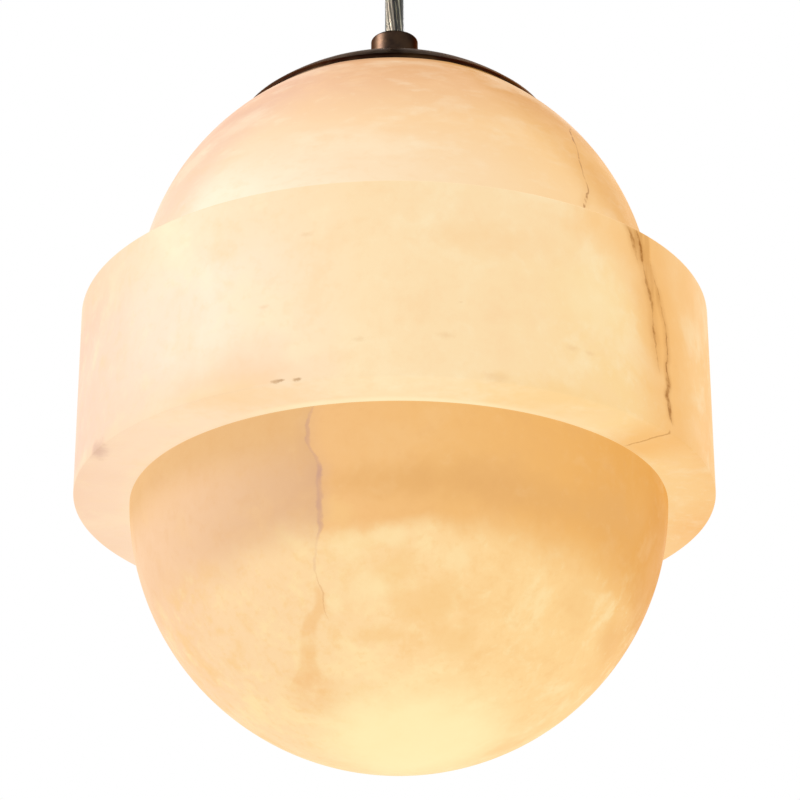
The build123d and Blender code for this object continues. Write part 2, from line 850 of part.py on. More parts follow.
def lamp_holder():
    # Ceramic two-pin socket in the lamp's frame
    top = Cylinder(holder_flange_radius, holder_flange, align=hanging)
    body = Cylinder(holder_radius, holder_height, align=hanging)
    body = fillet(body.edges().sort_by(Axis.Z)[0], holder_rounding)
    holder = top + body
    for side in (-1, 1):
        holder -= Pos(0, side * pin_spacing / 2, -holder_height) * Cylinder(
            pin_hole_radius, 2 * (pin_length + pin_end_gap)
        )
        holder -= Pos(side * holder_radius, 0, -holder_height) * Box(
            2 * holder_notch_depth, holder_notch_width, 2 * holder_notch_length
        )
    return holder


def bulb_base():
    # Ceramic foot with two looped pins, in the lamp's frame
    foot = Pos(0, 0, -holder_height - seat_gap) * Box(
        bulb_base_width, bulb_base_length, bulb_base_height, align=hanging
    )
    foot = fillet(foot.edges().filter_by(Axis.Z), bulb_base_rounding)
    for side in (-1, 1):
        pin = Cylinder(pin_radius, pin_length + seat_gap, align=standing)
        foot += Pos(0, side * pin_spacing / 2, -holder_height - seat_gap) * pin
    return foot


def bulb_envelope():
    # Frosted capsule, its lower end round
    top = -holder_height - seat_gap - bulb_base_height
    capsule = rod(bulb_radius, top - bulb_length, top)
    return fillet(capsule.edges().sort_by(Axis.Z)[0], bulb_radius - bulb_tip_flat)


def lamp_leads():
    # One sheathed pair a lamp, from the cord's end out through the cup and down through the wing
    start = cord_radius - lamp_lead_radius
    back = lamp_place().position
    crest_x = back.X - (lead_exit_z - back.Z) * tan(radians(lamp_tilt))
    route = (
        (start, 0, stem_foot_z),
        (start, 0, lead_exit_z),
        (crest_x, 0, lead_exit_z),
        (back.X, 0, back.Z),
    )
    return around(lamp_angles, wire(route, lamp_lead_bend, lamp_lead_radius))


save("ceiling_bracket", ceiling_bracket())
save("side_screws", *side_screws())
save("earth_screw", earth_screw())
save("canopy", canopy())
save("canopy_cord_grip", canopy_cord_grip())
save("grip_sleeve", grip_sleeve())
save("grip_lock_nut", grip_lock_nut())
save("cord_tail", cord_tail())
save("supply_leads", *supply_leads())
save("terminal_block", terminal_block())
save("terminal_screws", *terminal_screws())
save("cord", cord())
save("collar", collar())
save("collar_bushing", collar_bushing())
save("cap", cap())
save("cap_gasket", cap_gasket())
save("upper_dome", upper_dome())
save("dome_seat_gasket", dome_seat_gasket())
save("drum_band", drum_band())
save("lower_bowl", lower_bowl())
save("bowl_clips", *bowl_clips())
save("clip_pads", *clip_pads())
save("clip_inserts", *clip_inserts())
save("clip_screws", *clip_screws())
save("stem", stem())
save("stem_cord", stem_cord())
save("stem_nuts", *stem_nuts())
save("stem_washers", *stem_washers())
save("carrier", carrier())
save("arm_pads", *arm_pads())
save("wiring_cup", wiring_cup())
save("lamp_plate", lamp_plate())
save("lamp_plate_screws", *lamp_plate_screws())
save("lamp_holders", *around(lamp_angles, lamp_place() * lamp_holder()))
save("lamp_leads", *lamp_leads())
for number, angle in enumerate(lamp_angles, start=1):
    place = Rot(0, 0, angle) * lamp_place()
    save(f"bulb_{number}", place * bulb_envelope())
    save(f"bulb_{number}_base", place * bulb_base())
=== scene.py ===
from math import asin, atan2, cos, degrees, hypot, pi, radians, sin, sqrt

import bmesh
import bpy
from mathutils import Euler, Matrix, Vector, noise


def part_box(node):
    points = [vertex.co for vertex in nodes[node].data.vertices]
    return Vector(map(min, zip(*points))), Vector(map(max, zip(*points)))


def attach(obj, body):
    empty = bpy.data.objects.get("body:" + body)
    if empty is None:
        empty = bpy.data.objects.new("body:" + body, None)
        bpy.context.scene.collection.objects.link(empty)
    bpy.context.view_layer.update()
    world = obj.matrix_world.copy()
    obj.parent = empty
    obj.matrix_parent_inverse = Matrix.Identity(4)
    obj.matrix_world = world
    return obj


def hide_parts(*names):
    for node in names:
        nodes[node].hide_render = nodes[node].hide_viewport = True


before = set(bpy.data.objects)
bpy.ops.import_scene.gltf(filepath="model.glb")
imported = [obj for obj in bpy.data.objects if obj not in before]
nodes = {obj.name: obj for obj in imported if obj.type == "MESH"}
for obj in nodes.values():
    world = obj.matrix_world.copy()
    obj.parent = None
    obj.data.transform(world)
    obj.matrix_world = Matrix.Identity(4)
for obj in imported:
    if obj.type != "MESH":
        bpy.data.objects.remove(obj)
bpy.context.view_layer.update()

# Camera: well below the pendant, looking up at it
cameraSettings = {
    "place": (0.0, -1.1642, -0.8221),
    "tilt": 23.85,  # degrees above the horizon
    "lens": 128.8,
    "sensor": 36.0,
    "shiftX": 0.0069,
    "picture": 800,  # width and height of the picture, in pixels
}


def placeCamera():
    data = bpy.data.cameras.new("pendantCamera")
    data.lens = cameraSettings["lens"]
    data.sensor_width = cameraSettings["sensor"]
    data.shift_x = cameraSettings["shiftX"]
    data.clip_end = 60
    camera = bpy.data.objects.new("pendantCamera", data)
    camera.location = cameraSettings["place"]
    camera.rotation_euler = (radians(90 + cameraSettings["tilt"]), 0, 0)
    bpy.context.collection.objects.link(camera)
    bpy.context.scene.camera = camera
    print("camera placed")


placeCamera()


def sightLine(pixelX, pixelY):
    # Direction from the camera through a pixel of the picture
    picture = cameraSettings["picture"]
    perPixel = cameraSettings["sensor"] / cameraSettings["lens"] / picture
    right = (pixelX - picture / 2 + cameraSettings["shiftX"] * picture) * perPixel
    up = (picture / 2 - pixelY) * perPixel
    direction = Vector((right, up, -1)).normalized()
    direction.rotate(Euler((radians(90 + cameraSettings["tilt"]), 0, 0)))
    return direction


def firstHit(a, b, c):
    # Nearer root of a t² + 2 b t + c = 0
    return (-b - sqrt(max(b * b - a * c, 0))) / a


def seenOnSphere(pixel, radius, centreHeight):
    eye = Vector(cameraSettings["place"])
    ray = sightLine(*pixel)
    offset = eye - Vector((0, 0, centreHeight))
    return eye + ray * firstHit(1, offset.dot(ray), offset.dot(offset) - radius**2)


def seenOnCylinder(pixel, radius):
    eye = Vector(cameraSettings["place"])
    ray = sightLine(*pixel)
    flat = ray.xy
    return eye + ray * firstHit(flat.dot(flat), eye.xy.dot(flat), eye.xy.dot(eye.xy) - radius**2)


def seenOnLevel(pixel, height):
    eye = Vector(cameraSettings["place"])
    ray = sightLine(*pixel)
    return eye + ray * ((height - eye.z) / ray.z)


def paint(red, green, blue):
    # Colour as given, 0 to 255, for a shader socket
    parts = [value / 255 for value in (red, green, blue)]
    return [part / 12.92 if part < 0.04 else ((part + 0.055) / 1.055) ** 2.4 for part in parts] + [1.0]


def newFinish(name, **settings):
    finish = bpy.data.materials.new(name)
    finish.use_nodes = True
    tree = finish.node_tree
    shader = tree.nodes["Principled BSDF"]
    for socket, value in settings.items():
        shader.inputs[socket.replace("_", " ")].default_value = value
    return finish, tree, shader


def feed(tree, socket, value):
    if isinstance(value, bpy.types.NodeSocket):
        tree.links.new(value, socket)
    else:
        socket.default_value = value


def coordinates(tree):
    return tree.nodes.new("ShaderNodeTexCoord").outputs["Object"]


def split(tree, vector):
    made = tree.nodes.new("ShaderNodeSeparateXYZ")
    feed(tree, made.inputs[0], vector)
    return made.outputs


def maths(tree, operation, first, second=0.0, third=0.0):
    made = tree.nodes.new("ShaderNodeMath")
    made.operation = operation
    for socket, value in zip(made.inputs, (first, second, third)):
        feed(tree, socket, value)
    return made.outputs[0]


def times(tree, first, second):
    return maths(tree, "MULTIPLY", first, second)


def plus(tree, first, second):
    return maths(tree, "ADD", first, second)


def larger(tree, first, second):
    return maths(tree, "MAXIMUM", first, second)


def vectorMaths(tree, operation, first, second, output="Vector"):
    made = tree.nodes.new("ShaderNodeVectorMath")
    made.operation = operation
    feed(tree, made.inputs[0], first)
    feed(tree, made.inputs[1], second)
    return made.outputs[output]


def share(tree, value, low, high, fromShare=0.0, toShare=1.0, ease="SMOOTHSTEP"):
    # Eased share of the way from low to high
    made = tree.nodes.new("ShaderNodeMapRange")
    made.interpolation_type = ease
    for name, given in (("Value", value), ("From Min", low), ("From Max", high)):
        feed(tree, made.inputs[name], given)
    made.inputs["To Min"].default_value = fromShare
    made.inputs["To Max"].default_value = toShare
    return made.outputs["Result"]


def mixed(tree, amount, first, second, way="MIX"):
    made = tree.nodes.new("ShaderNodeMix")
    made.data_type = "RGBA"
    made.blend_type = way
    feed(tree, made.inputs[0], amount)
    feed(tree, made.inputs[6], first)
    feed(tree, made.inputs[7], second)
    return made.outputs[2]


def ramp(tree, amount, stops):
    made = tree.nodes.new("ShaderNodeValToRGB")
    elements = made.color_ramp.elements
    while len(elements) < len(stops):
        elements.new(0.5)
    for element, (position, colour) in zip(elements, stops):
        element.position = position
        element.color = colour
    feed(tree, made.inputs[0], amount)
    return made.outputs["Color"]


def cloud(tree, where, size, detail=3.0, roughness=0.5, warp=0.0, stretch=(1, 1, 1)):
    # Noise with features of about that size, in metres
    made = tree.nodes.new("ShaderNodeTexNoise")
    scaled = vectorMaths(tree, "MULTIPLY", where, tuple(part / size for part in stretch))
    feed(tree, made.inputs["Vector"], scaled)
    made.inputs["Scale"].default_value = 1.0
    made.inputs["Detail"].default_value = detail
    made.inputs["Roughness"].default_value = roughness
    made.inputs["Distortion"].default_value = warp
    return made.outputs["Fac"]


def wandering(tree, where, size, reach, **grain):
    # Wanders up to half its reach to either side
    return maths(tree, "MULTIPLY_ADD", cloud(tree, where, size, **grain), reach, -reach / 2)


def relief(tree, shader, height, depth):
    # Bump with a real depth, in metres
    made = tree.nodes.new("ShaderNodeBump")
    made.inputs["Strength"].default_value = 1.0
    made.inputs["Distance"].default_value = depth
    feed(tree, made.inputs["Height"], height)
    tree.links.new(made.outputs[0], shader.inputs["Normal"])


def arcRun(radius, centreHeight, start, end, step=0.0025):
    # Outline points on a sphere, between two angles from its top, in degrees
    count = max(2, round(abs(radians(end - start)) * radius / step))
    angles = [radians(start + (end - start) * index / count) for index in range(count + 1)]
    return [(radius * sin(angle), centreHeight + radius * cos(angle), 0) for angle in angles]


def straightRun(start, end, step=0.0025):
    # Inner points of a straight stretch, ends left out
    span = Vector(end) - Vector(start)
    count = max(1, round(span.length / step))
    return [(*(Vector(start) + span * index / count), 0) for index in range(1, count)]


def softened(outline, steps=5):
    # Closed outline of (radius, height, rounding): each rounded corner becomes an arc
    corners = [(Vector(point[:2]), point[2]) for point in outline if point[2]]
    points = []
    for index, (radius, height, rounding) in enumerate(outline):
        corner = Vector((radius, height))
        if not rounding:
            if all((corner - other).length > reach * 1.05 for other, reach in corners):
                points.append(corner)
            continue
        before = Vector(outline[index - 1][:2]) - corner
        after = Vector(outline[(index + 1) % len(outline)][:2]) - corner
        start = corner + before.normalized() * rounding
        end = corner + after.normalized() * rounding
        for step in range(steps + 1):
            part = step / steps
            points.append(start * (1 - part) ** 2 + corner * (2 * part * (1 - part)) + end * part**2)
    return points


def turned(name, outline, body, finish, around=192, waver=0.0, waverSize=0.07, offCentre=None):
    # Closed solid of revolution; waver is how deep the hand finish wanders, inwards only, and
    # offCentre(radius, height) is how far a ring lies to the right of the axis
    mesh = bpy.data.meshes.new(name)
    build = bmesh.new()
    rings = []
    for radius, height in softened(outline):
        aside = Vector((offCentre(radius, height) if offCentre else 0.0, 0, 0))
        if radius < 1e-6:
            rings.append([build.verts.new(aside + Vector((0, 0, height)))] * around)
            continue
        ring = []
        for turn in range(around):
            angle = 2 * pi * turn / around
            place = Vector((radius * sin(angle), -radius * cos(angle), height))
            sink = waver * (0.5 + 0.5 * noise.noise(place / waverSize))
            inwards = 1 - sink / radius
            ring.append(build.verts.new(place * Vector((inwards, inwards, 1)) + aside))
        rings.append(ring)
    for ring, following in zip(rings, rings[1:] + rings[:1]):
        for turn in range(around):
            other = (turn + 1) % around
            # At the pole two corners of a face are the same point
            corners = list(dict.fromkeys((ring[turn], following[turn], following[other], ring[other])))
            if len(corners) > 2:
                build.faces.new(corners)
    bmesh.ops.recalc_face_normals(build, faces=build.faces)
    build.to_mesh(mesh)
    build.free()
    return shown(name, mesh, body, finish)


def shown(name, mesh, body, finish):
    # Smooth piece with one finish that rides on a body
    for face in mesh.polygons:
        face.use_smooth = True
    mesh.set_sharp_from_angle(angle=radians(35))
    mesh.materials.append(finish)
    piece = bpy.data.objects.new(name, mesh)
    bpy.context.collection.objects.link(piece)
    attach(piece, body)
    return piece


# Main sizes of the stones, from the frame
drumLow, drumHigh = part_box("drum_band")
domeLow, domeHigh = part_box("upper_dome")
bowlLow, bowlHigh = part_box("lower_bowl")
drumRadius = drumHigh[0]
drumTop = drumHigh[2]
drumFoot = drumLow[2]
domeRadius = domeHigh[0]
domeRise = 0.0055  # centre of the dome's sphere over the drum's top
bowlRise = 0.0010  # centre of the bowl's sphere over the drum's foot
domeCentre = drumTop + domeRise
bowlCentre = drumFoot + bowlRise
bowlRadius = bowlCentre - bowlLow[2]

alabaster = {
    "lit": 0.92,  # share of the stone's tone that is light from inside
    "specular": 0.08,
    "roughness": (0.44, 0.58),
    "polishWaver": 0.0002,
    "pitting": 0.00005,
    "aside": 0.0019,  # the bowl and its seat in the drum were turned this far off the drum's axis
}


def alabasterFinish(name, toneOf):
    # toneOf(tree, where, x, y, z) gives the stone's glowing tone at a point
    finish, tree, shader = newFinish(
        name, Specular_IOR_Level=alabaster["specular"], Emission_Strength=alabaster["lit"]
    )
    where = coordinates(tree)
    x, y, z = split(tree, where)
    tone = toneOf(tree, where, x, y, z)
    tree.links.new(tone, shader.inputs["Emission Color"])
    unlit = 1 - alabaster["lit"]
    body = mixed(tree, 1.0, tone, (unlit, unlit, unlit, 1), "MULTIPLY")
    tree.links.new(body, shader.inputs["Base Color"])
    haze = cloud(tree, where, 0.02, detail=4)
    tree.links.new(share(tree, haze, 0.3, 0.7, *alabaster["roughness"]), shader.inputs["Roughness"])
    relief(tree, shader, cloud(tree, where, 0.012, detail=5, roughness=0.6), alabaster["pitting"])
    return finish


def shifted(tree, where, offset):
    return vectorMaths(tree, "ADD", where, offset)


def blend(tree, amount, strength, tone, colour):
    return mixed(tree, times(tree, amount, strength), tone, colour)


def clouded(tree, where, tone, pale, warm, size, strength=1.0):
    # Milky and warm clouds in the stone, broad ones broken up by finer ones
    broad = cloud(tree, where, size, detail=5, roughness=0.6, warp=0.25)
    apart = shifted(tree, where, (0.31, 0.17, 0.05))
    middle = cloud(tree, apart, size * 0.4, detail=4, roughness=0.6, warp=0.2)
    apart = shifted(tree, where, (0.11, 0.43, 0.29))
    fine = cloud(tree, apart, size * 0.14, detail=4, roughness=0.65)
    tone = blend(tree, share(tree, broad, 0.5, 0.7), 0.8 * strength, tone, pale)
    tone = blend(tree, share(tree, broad, 0.48, 0.3), 0.65 * strength, tone, warm)
    tone = blend(tree, share(tree, middle, 0.54, 0.74), 0.6 * strength, tone, pale)
    tone = blend(tree, share(tree, middle, 0.46, 0.28), 0.5 * strength, tone, warm)
    tone = blend(tree, share(tree, fine, 0.56, 0.72), 0.3 * strength, tone, pale)
    return blend(tree, share(tree, fine, 0.5, 0.3), 0.35 * strength, tone, warm)


def tones(tree, value, stops):
    # Colours along one coordinate; stops are (millimetres, colour)
    low, high = stops[0][0] / 1000, stops[-1][0] / 1000
    placed = [((place / 1000 - low) / (high - low), colour) for place, colour in stops]
    return ramp(tree, share(tree, value, low, high, ease="LINEAR"), placed)


def bearing(tree, x, y, radius):
    # Run round the stone from its front, in metres
    return times(tree, maths(tree, "ARCTAN2", x, times(tree, y, -1)), radius)


def follow(tree, position, points):
    # Smooth curve through (position 0 to 1, value) points
    low = min(value for _, value in points)
    span = max(max(value for _, value in points) - low, 1e-6)
    made = tree.nodes.new("ShaderNodeFloatCurve")
    knots = made.mapping.curves[0].points
    while len(knots) < len(points):
        knots.new(0.5, 0.5)
    for knot, (place, value) in zip(knots, points):
        knot.location = (place, (value - low) / span)
    made.mapping.update()
    feed(tree, made.inputs["Value"], position)
    return maths(tree, "MULTIPLY_ADD", made.outputs[0], span, low)


def vein(tree, along, across, route):
    # A vein runs along one coordinate of the stone and wanders across the other, both in metres.
    # route has (along, across, width in millimetres, strength) per point. Gives the signed distance
    # from the vein, its half width and how strong it is here
    route = sorted(route)
    low, high = route[0][0], route[-1][0]
    position = share(tree, along, low, high, ease="LINEAR")
    places = [(point[0] - low) / (high - low) for point in route]
    middle = follow(tree, position, [(place, point[1]) for place, point in zip(places, route)])
    half = follow(tree, position, [(place, point[2] / 2000) for place, point in zip(places, route)])
    strength = follow(tree, position, [(place, point[3]) for place, point in zip(places, route)])
    fade = 0.0015
    begun = share(tree, along, low - fade, low + fade)
    inside = times(tree, begun, share(tree, along, high + fade, high - fade))
    return maths(tree, "SUBTRACT", across, middle), half, times(tree, strength, inside)


def strand(tree, offset, half, strength, softness=0.6):
    # Share of vein colour: full near the middle, gone a little outside the half width
    away = maths(tree, "ABSOLUTE", offset)
    inner = times(tree, half, 1 - softness)
    outer = times(tree, half, 1 + softness)
    return times(tree, share(tree, away, outer, inner), strength)


def fleck(tree, where, centre, size, softness=0.6):
    # Soft blot round a point; size is its half length in x, y and z
    offset = vectorMaths(tree, "SUBTRACT", where, tuple(centre))
    scaled = vectorMaths(tree, "DIVIDE", offset, size)
    away = vectorMaths(tree, "LENGTH", scaled, (0, 0, 0), "Value")
    torn = cloud(tree, where, min(size) * 1.2, detail=5, roughness=0.6)
    ragged = plus(tree, away, maths(tree, "MULTIPLY_ADD", torn, 1.6, -0.8))
    return share(tree, ragged, 1 + softness / 2, 1 - softness)


def radiusOf(tree, x, y):
    squares = plus(tree, times(tree, x, x), times(tree, y, y))
    return maths(tree, "SQRT", squares)


def seenVein(tree, z, across, seen, radius, pixels):
    return vein(tree, z, across, onStone(seen, radius, pixels))


def onStone(seen, radius, pixels):
    # Vein points given as (pixel x, pixel y, width, strength), as height and run round the stone
    route = []
    for pixelX, pixelY, width, strength in pixels:
        hit = seen((pixelX, pixelY))
        route.append((hit.z, atan2(hit.x, -hit.y) * radius, width, strength))
    return route


# Upper dome
domeStone = {
    "wall": 0.010,
    "hatch": 0.058,
    "edge": 0.0012,
    "lift": 0.00005,  # it stands this far over its ring
    # Painted light and shade from its foot up: brightest near the foot, painted shade under the cap, deeper
    # on the right. Height in millimetres and colour
    "leftTones": (
        (-277, paint(255, 242, 216)), (-250, paint(254, 234, 206)), (-225, paint(252, 220, 185)),
        (-200, paint(238, 195, 163)), (-180, paint(230, 183, 147)),
    ),
    "rightTones": (
        (-277, paint(253, 210, 148)), (-250, paint(252, 206, 140)), (-225, paint(249, 198, 124)),
        (-200, paint(236, 178, 98)), (-180, paint(222, 160, 80)),
    ),
    # Painted shade towards the right and left edges of the dome, by height
    "rimShadeTones": ((-230, paint(230, 170, 92)), (-220, paint(232, 175, 99)), (-200, paint(217, 154, 75))),
    "leftRimShade": paint(222, 176, 152),
    "pale": paint(255, 239, 207),
    "warm": paint(249, 206, 156),
    "vein": paint(160, 104, 54),
    "stain": paint(234, 178, 108),
    # Veins: pixel, width in millimetres, strength
    "veinRoute": (
        (571, 129, 0.8, 0.5), (573, 139, 1.2, 0.75), (577, 148, 0.7, 0.35), (579.5, 160, 1.0, 0.6),
        (584, 176, 0.7, 0.35), (588, 188, 0.9, 0.55), (587, 195, 1.2, 0.7), (585.5, 201, 1.6, 0.9),
        (584, 208, 0.7, 0.35),
    ),
    "silhouetteRoute": (
        (562, 113, 0.6, 0.3), (570, 122, 0.9, 0.7), (577, 130, 0.9, 0.6), (583, 137, 0.5, 0.2),
    ),
}


def seenOnDome(pixel):
    return seenOnSphere(pixel, domeRadius, domeCentre)


def domeTone(tree, where, x, y, z):
    # Painted light and shade: the glow fades up towards the cap and deepens to the right
    left = tones(tree, z, domeStone["leftTones"])
    right = tones(tree, z, domeStone["rightTones"])
    drifted = plus(tree, x, wandering(tree, where, 0.05, 0.04))
    tone = mixed(tree, share(tree, drifted, -0.075, 0.115, ease="LINEAR"), left, right)
    rim = tones(tree, z, domeStone["rimShadeTones"])
    for side, strength, colour in ((1, 0.85, rim), (-1, 0.4, domeStone["leftRimShade"])):
        # Painted shade: deeper tone far out to each side, nearer the axis higher up
        slope = plus(tree, times(tree, x, side), times(tree, z, 0.9))
        tone = blend(tree, share(tree, slope, -0.148, -0.118), strength, tone, colour)
    stretched = vectorMaths(tree, "MULTIPLY", where, (0.7, 0.7, 1.5))
    cloudy = clouded(tree, stretched, tone, domeStone["pale"], domeStone["warm"], 0.032, 0.4)
    tone = mixed(tree, share(tree, x, 0.0, 0.1, 1.0, 0.45), tone, cloudy)
    across = plus(tree, bearing(tree, x, y, domeRadius), wandering(tree, where, 0.003, 0.0014, detail=4))
    offset, half, strength = seenVein(tree, z, across, seenOnDome, domeRadius, domeStone["veinRoute"])
    tone = blend(tree, strand(tree, offset, 0.003, strength, 1.0), 0.35, tone, domeStone["stain"])
    broken = share(tree, cloud(tree, where, 0.005, detail=3), 0.36, 0.55)
    line = times(tree, strand(tree, offset, half, strength), broken)
    tone = mixed(tree, line, tone, domeStone["vein"])
    offset, half, strength = seenVein(tree, z, across, seenOnDome, domeRadius, domeStone["silhouetteRoute"])
    return mixed(tree, strand(tree, offset, half, strength), tone, domeStone["vein"])


# Drum
drumStone = {
    "flange": 0.012,
    "wall": 0.0125,
    "rebate": 0.003,
    "rebateGap": 0.0006,  # round the dome's foot
    "neckGap": 0.0004,  # round the bowl's neck
    "lipStep": 0.002,  # how far the upper lip reaches in past the dome's wall
    "edge": 0.0008,
    "footEdge": 0.0006,
    "innerEdge": 0.004,
    # Tones from left to right, partly the stone's own tone and partly painted light and shade: paler on the
    # left, darker towards both edges. Millimetres from the axis and colour
    "tones": (
        (-140, paint(244, 203, 178)), (-120, paint(250, 216, 189)), (-100, paint(253, 225, 198)),
        (-75, paint(254, 230, 201)), (-15, paint(254, 226, 181)), (60, paint(253, 221, 169)),
        (95, paint(252, 215, 153)), (125, paint(250, 203, 137)), (140, paint(248, 192, 122)),
    ),
    "topTone": paint(252, 221, 175),
    "pale": paint(255, 237, 196),
    "warm": paint(251, 211, 160),
    # Soft patches: pixel, half length, depth and height in millimetres, strength, tone
    "patches": (
        ((240, 372), (34, 34, 14), 0.6, paint(251, 216, 180)),
        ((165, 400), (50, 60, 18), 0.4, paint(249, 210, 174)),
        ((600, 300), (20, 20, 16), 0.6, paint(254, 230, 180)),
        ((690, 290), (20, 30, 20), 0.7, paint(247, 190, 116)),
        ((614, 228), (26, 26, 15), 0.7, paint(250, 198, 130)),
        ((500, 240), (32, 30, 8), 0.5, paint(251, 210, 156)),
        ((225, 388), (30, 26, 9), 0.6, paint(251, 209, 165)),
        ((654, 310), (12, 14, 26), 0.5, paint(238, 180, 108)),
    ),
    "vein": paint(162, 101, 30),
    "veinBand": paint(200, 141, 70),
    "stain": paint(244, 184, 106),
    "footTone": paint(253, 219, 180),
    # Warm places on the flat foot: pixel and tone
    "footFlecks": (((545, 397), paint(251, 209, 142)), ((245, 397), paint(251, 212, 160))),
    "lipGlow": paint(255, 243, 198),
    "lipRun": (0.1215, 0.1165),  # the glow round the bowl rises from the outer to the inner radius
    # Veins: pixel, width in millimetres, strength
    "innerRoute": (
        (637, 230, 1.0, 0.45), (639, 240, 1.4, 0.7), (641.3, 251, 2.0, 1.0), (642.2, 260, 1.6, 0.9),
        (643.5, 268, 0.6, 0.4), (645.5, 277, 1.2, 0.45), (647.3, 285, 2.0, 0.6), (650, 296, 2.1, 0.65),
        (652, 304, 1.8, 0.55), (652.8, 314, 0.8, 0.5), (653.5, 325, 1.0, 0.6), (654.8, 335, 1.4, 0.75),
        (655.8, 343, 0.9, 0.5), (656.6, 352, 0.7, 0.4), (658, 362, 0.9, 0.3), (659.5, 374, 0.4, 0.12),
    ),
    "outerRoute": (
        (650.8, 262, 0.4, 0.25), (652.5, 272, 0.5, 0.35), (655, 283, 0.6, 0.4), (658, 290, 0.6, 0.45),
        (661, 306, 0.5, 0.55), (663.7, 319, 0.6, 0.6), (666.2, 331, 0.8, 0.65), (667, 345, 0.8, 0.7),
        (667.8, 359, 1.1, 0.75), (666.5, 366, 1.1, 0.8), (667.6, 376, 1.6, 0.9), (668.8, 384, 2.8, 1.0),
        (668.0, 391, 2.4, 0.95), (667.2, 396, 2.6, 0.95), (669.2, 404, 2.6, 0.85), (670.3, 415, 1.6, 0.7),
        (672.5, 424, 0.8, 0.4),
    ),
    "wedgeRoute": (
        (626, 225, 1.4, 0.65), (630.5, 232, 1.5, 0.65), (633.5, 243, 2.2, 0.75), (635, 250, 1.8, 0.55),
        (637, 258, 0.9, 0.3), (639.5, 267, 0.5, 0.12),
    ),
    # Smoky stretch between the two long veins, from its lower to its upper pixel
    "smoke": ((655, 312), (650, 290)),
    "crackRoute": ((673.5, 432.6), (660, 436), (643, 441), (626, 445.5)),
    "crackWidth": 1.1,
    "crackStrength": 0.42,
    # Small marks: pixel and half length in millimetres
    "flecks": ((275.5, 381.3, 2.2), (280.5, 380.3, 1.6), (296.8, 379.3, 1.8)),
    "fleckTone": paint(176, 134, 92),
    "faintMarks": (
        (264, 306.7, 2.2), (359.6, 339, 2.6), (446, 335, 3.4), (497, 377, 5.0), (306, 234.5, 2.6),
        (573, 348, 3.0), (590, 353, 2.4), (461, 302, 1.0), (676, 366, 0.9), (691, 448, 0.9),
        (657, 245, 1.0),
    ),
    "faintTone": paint(222, 170, 118),
    "smudge": (96.3, 452),
    "smudgeTone": paint(208, 166, 148),
}


def seenOnDrum(pixel):
    return seenOnCylinder(pixel, drumRadius)


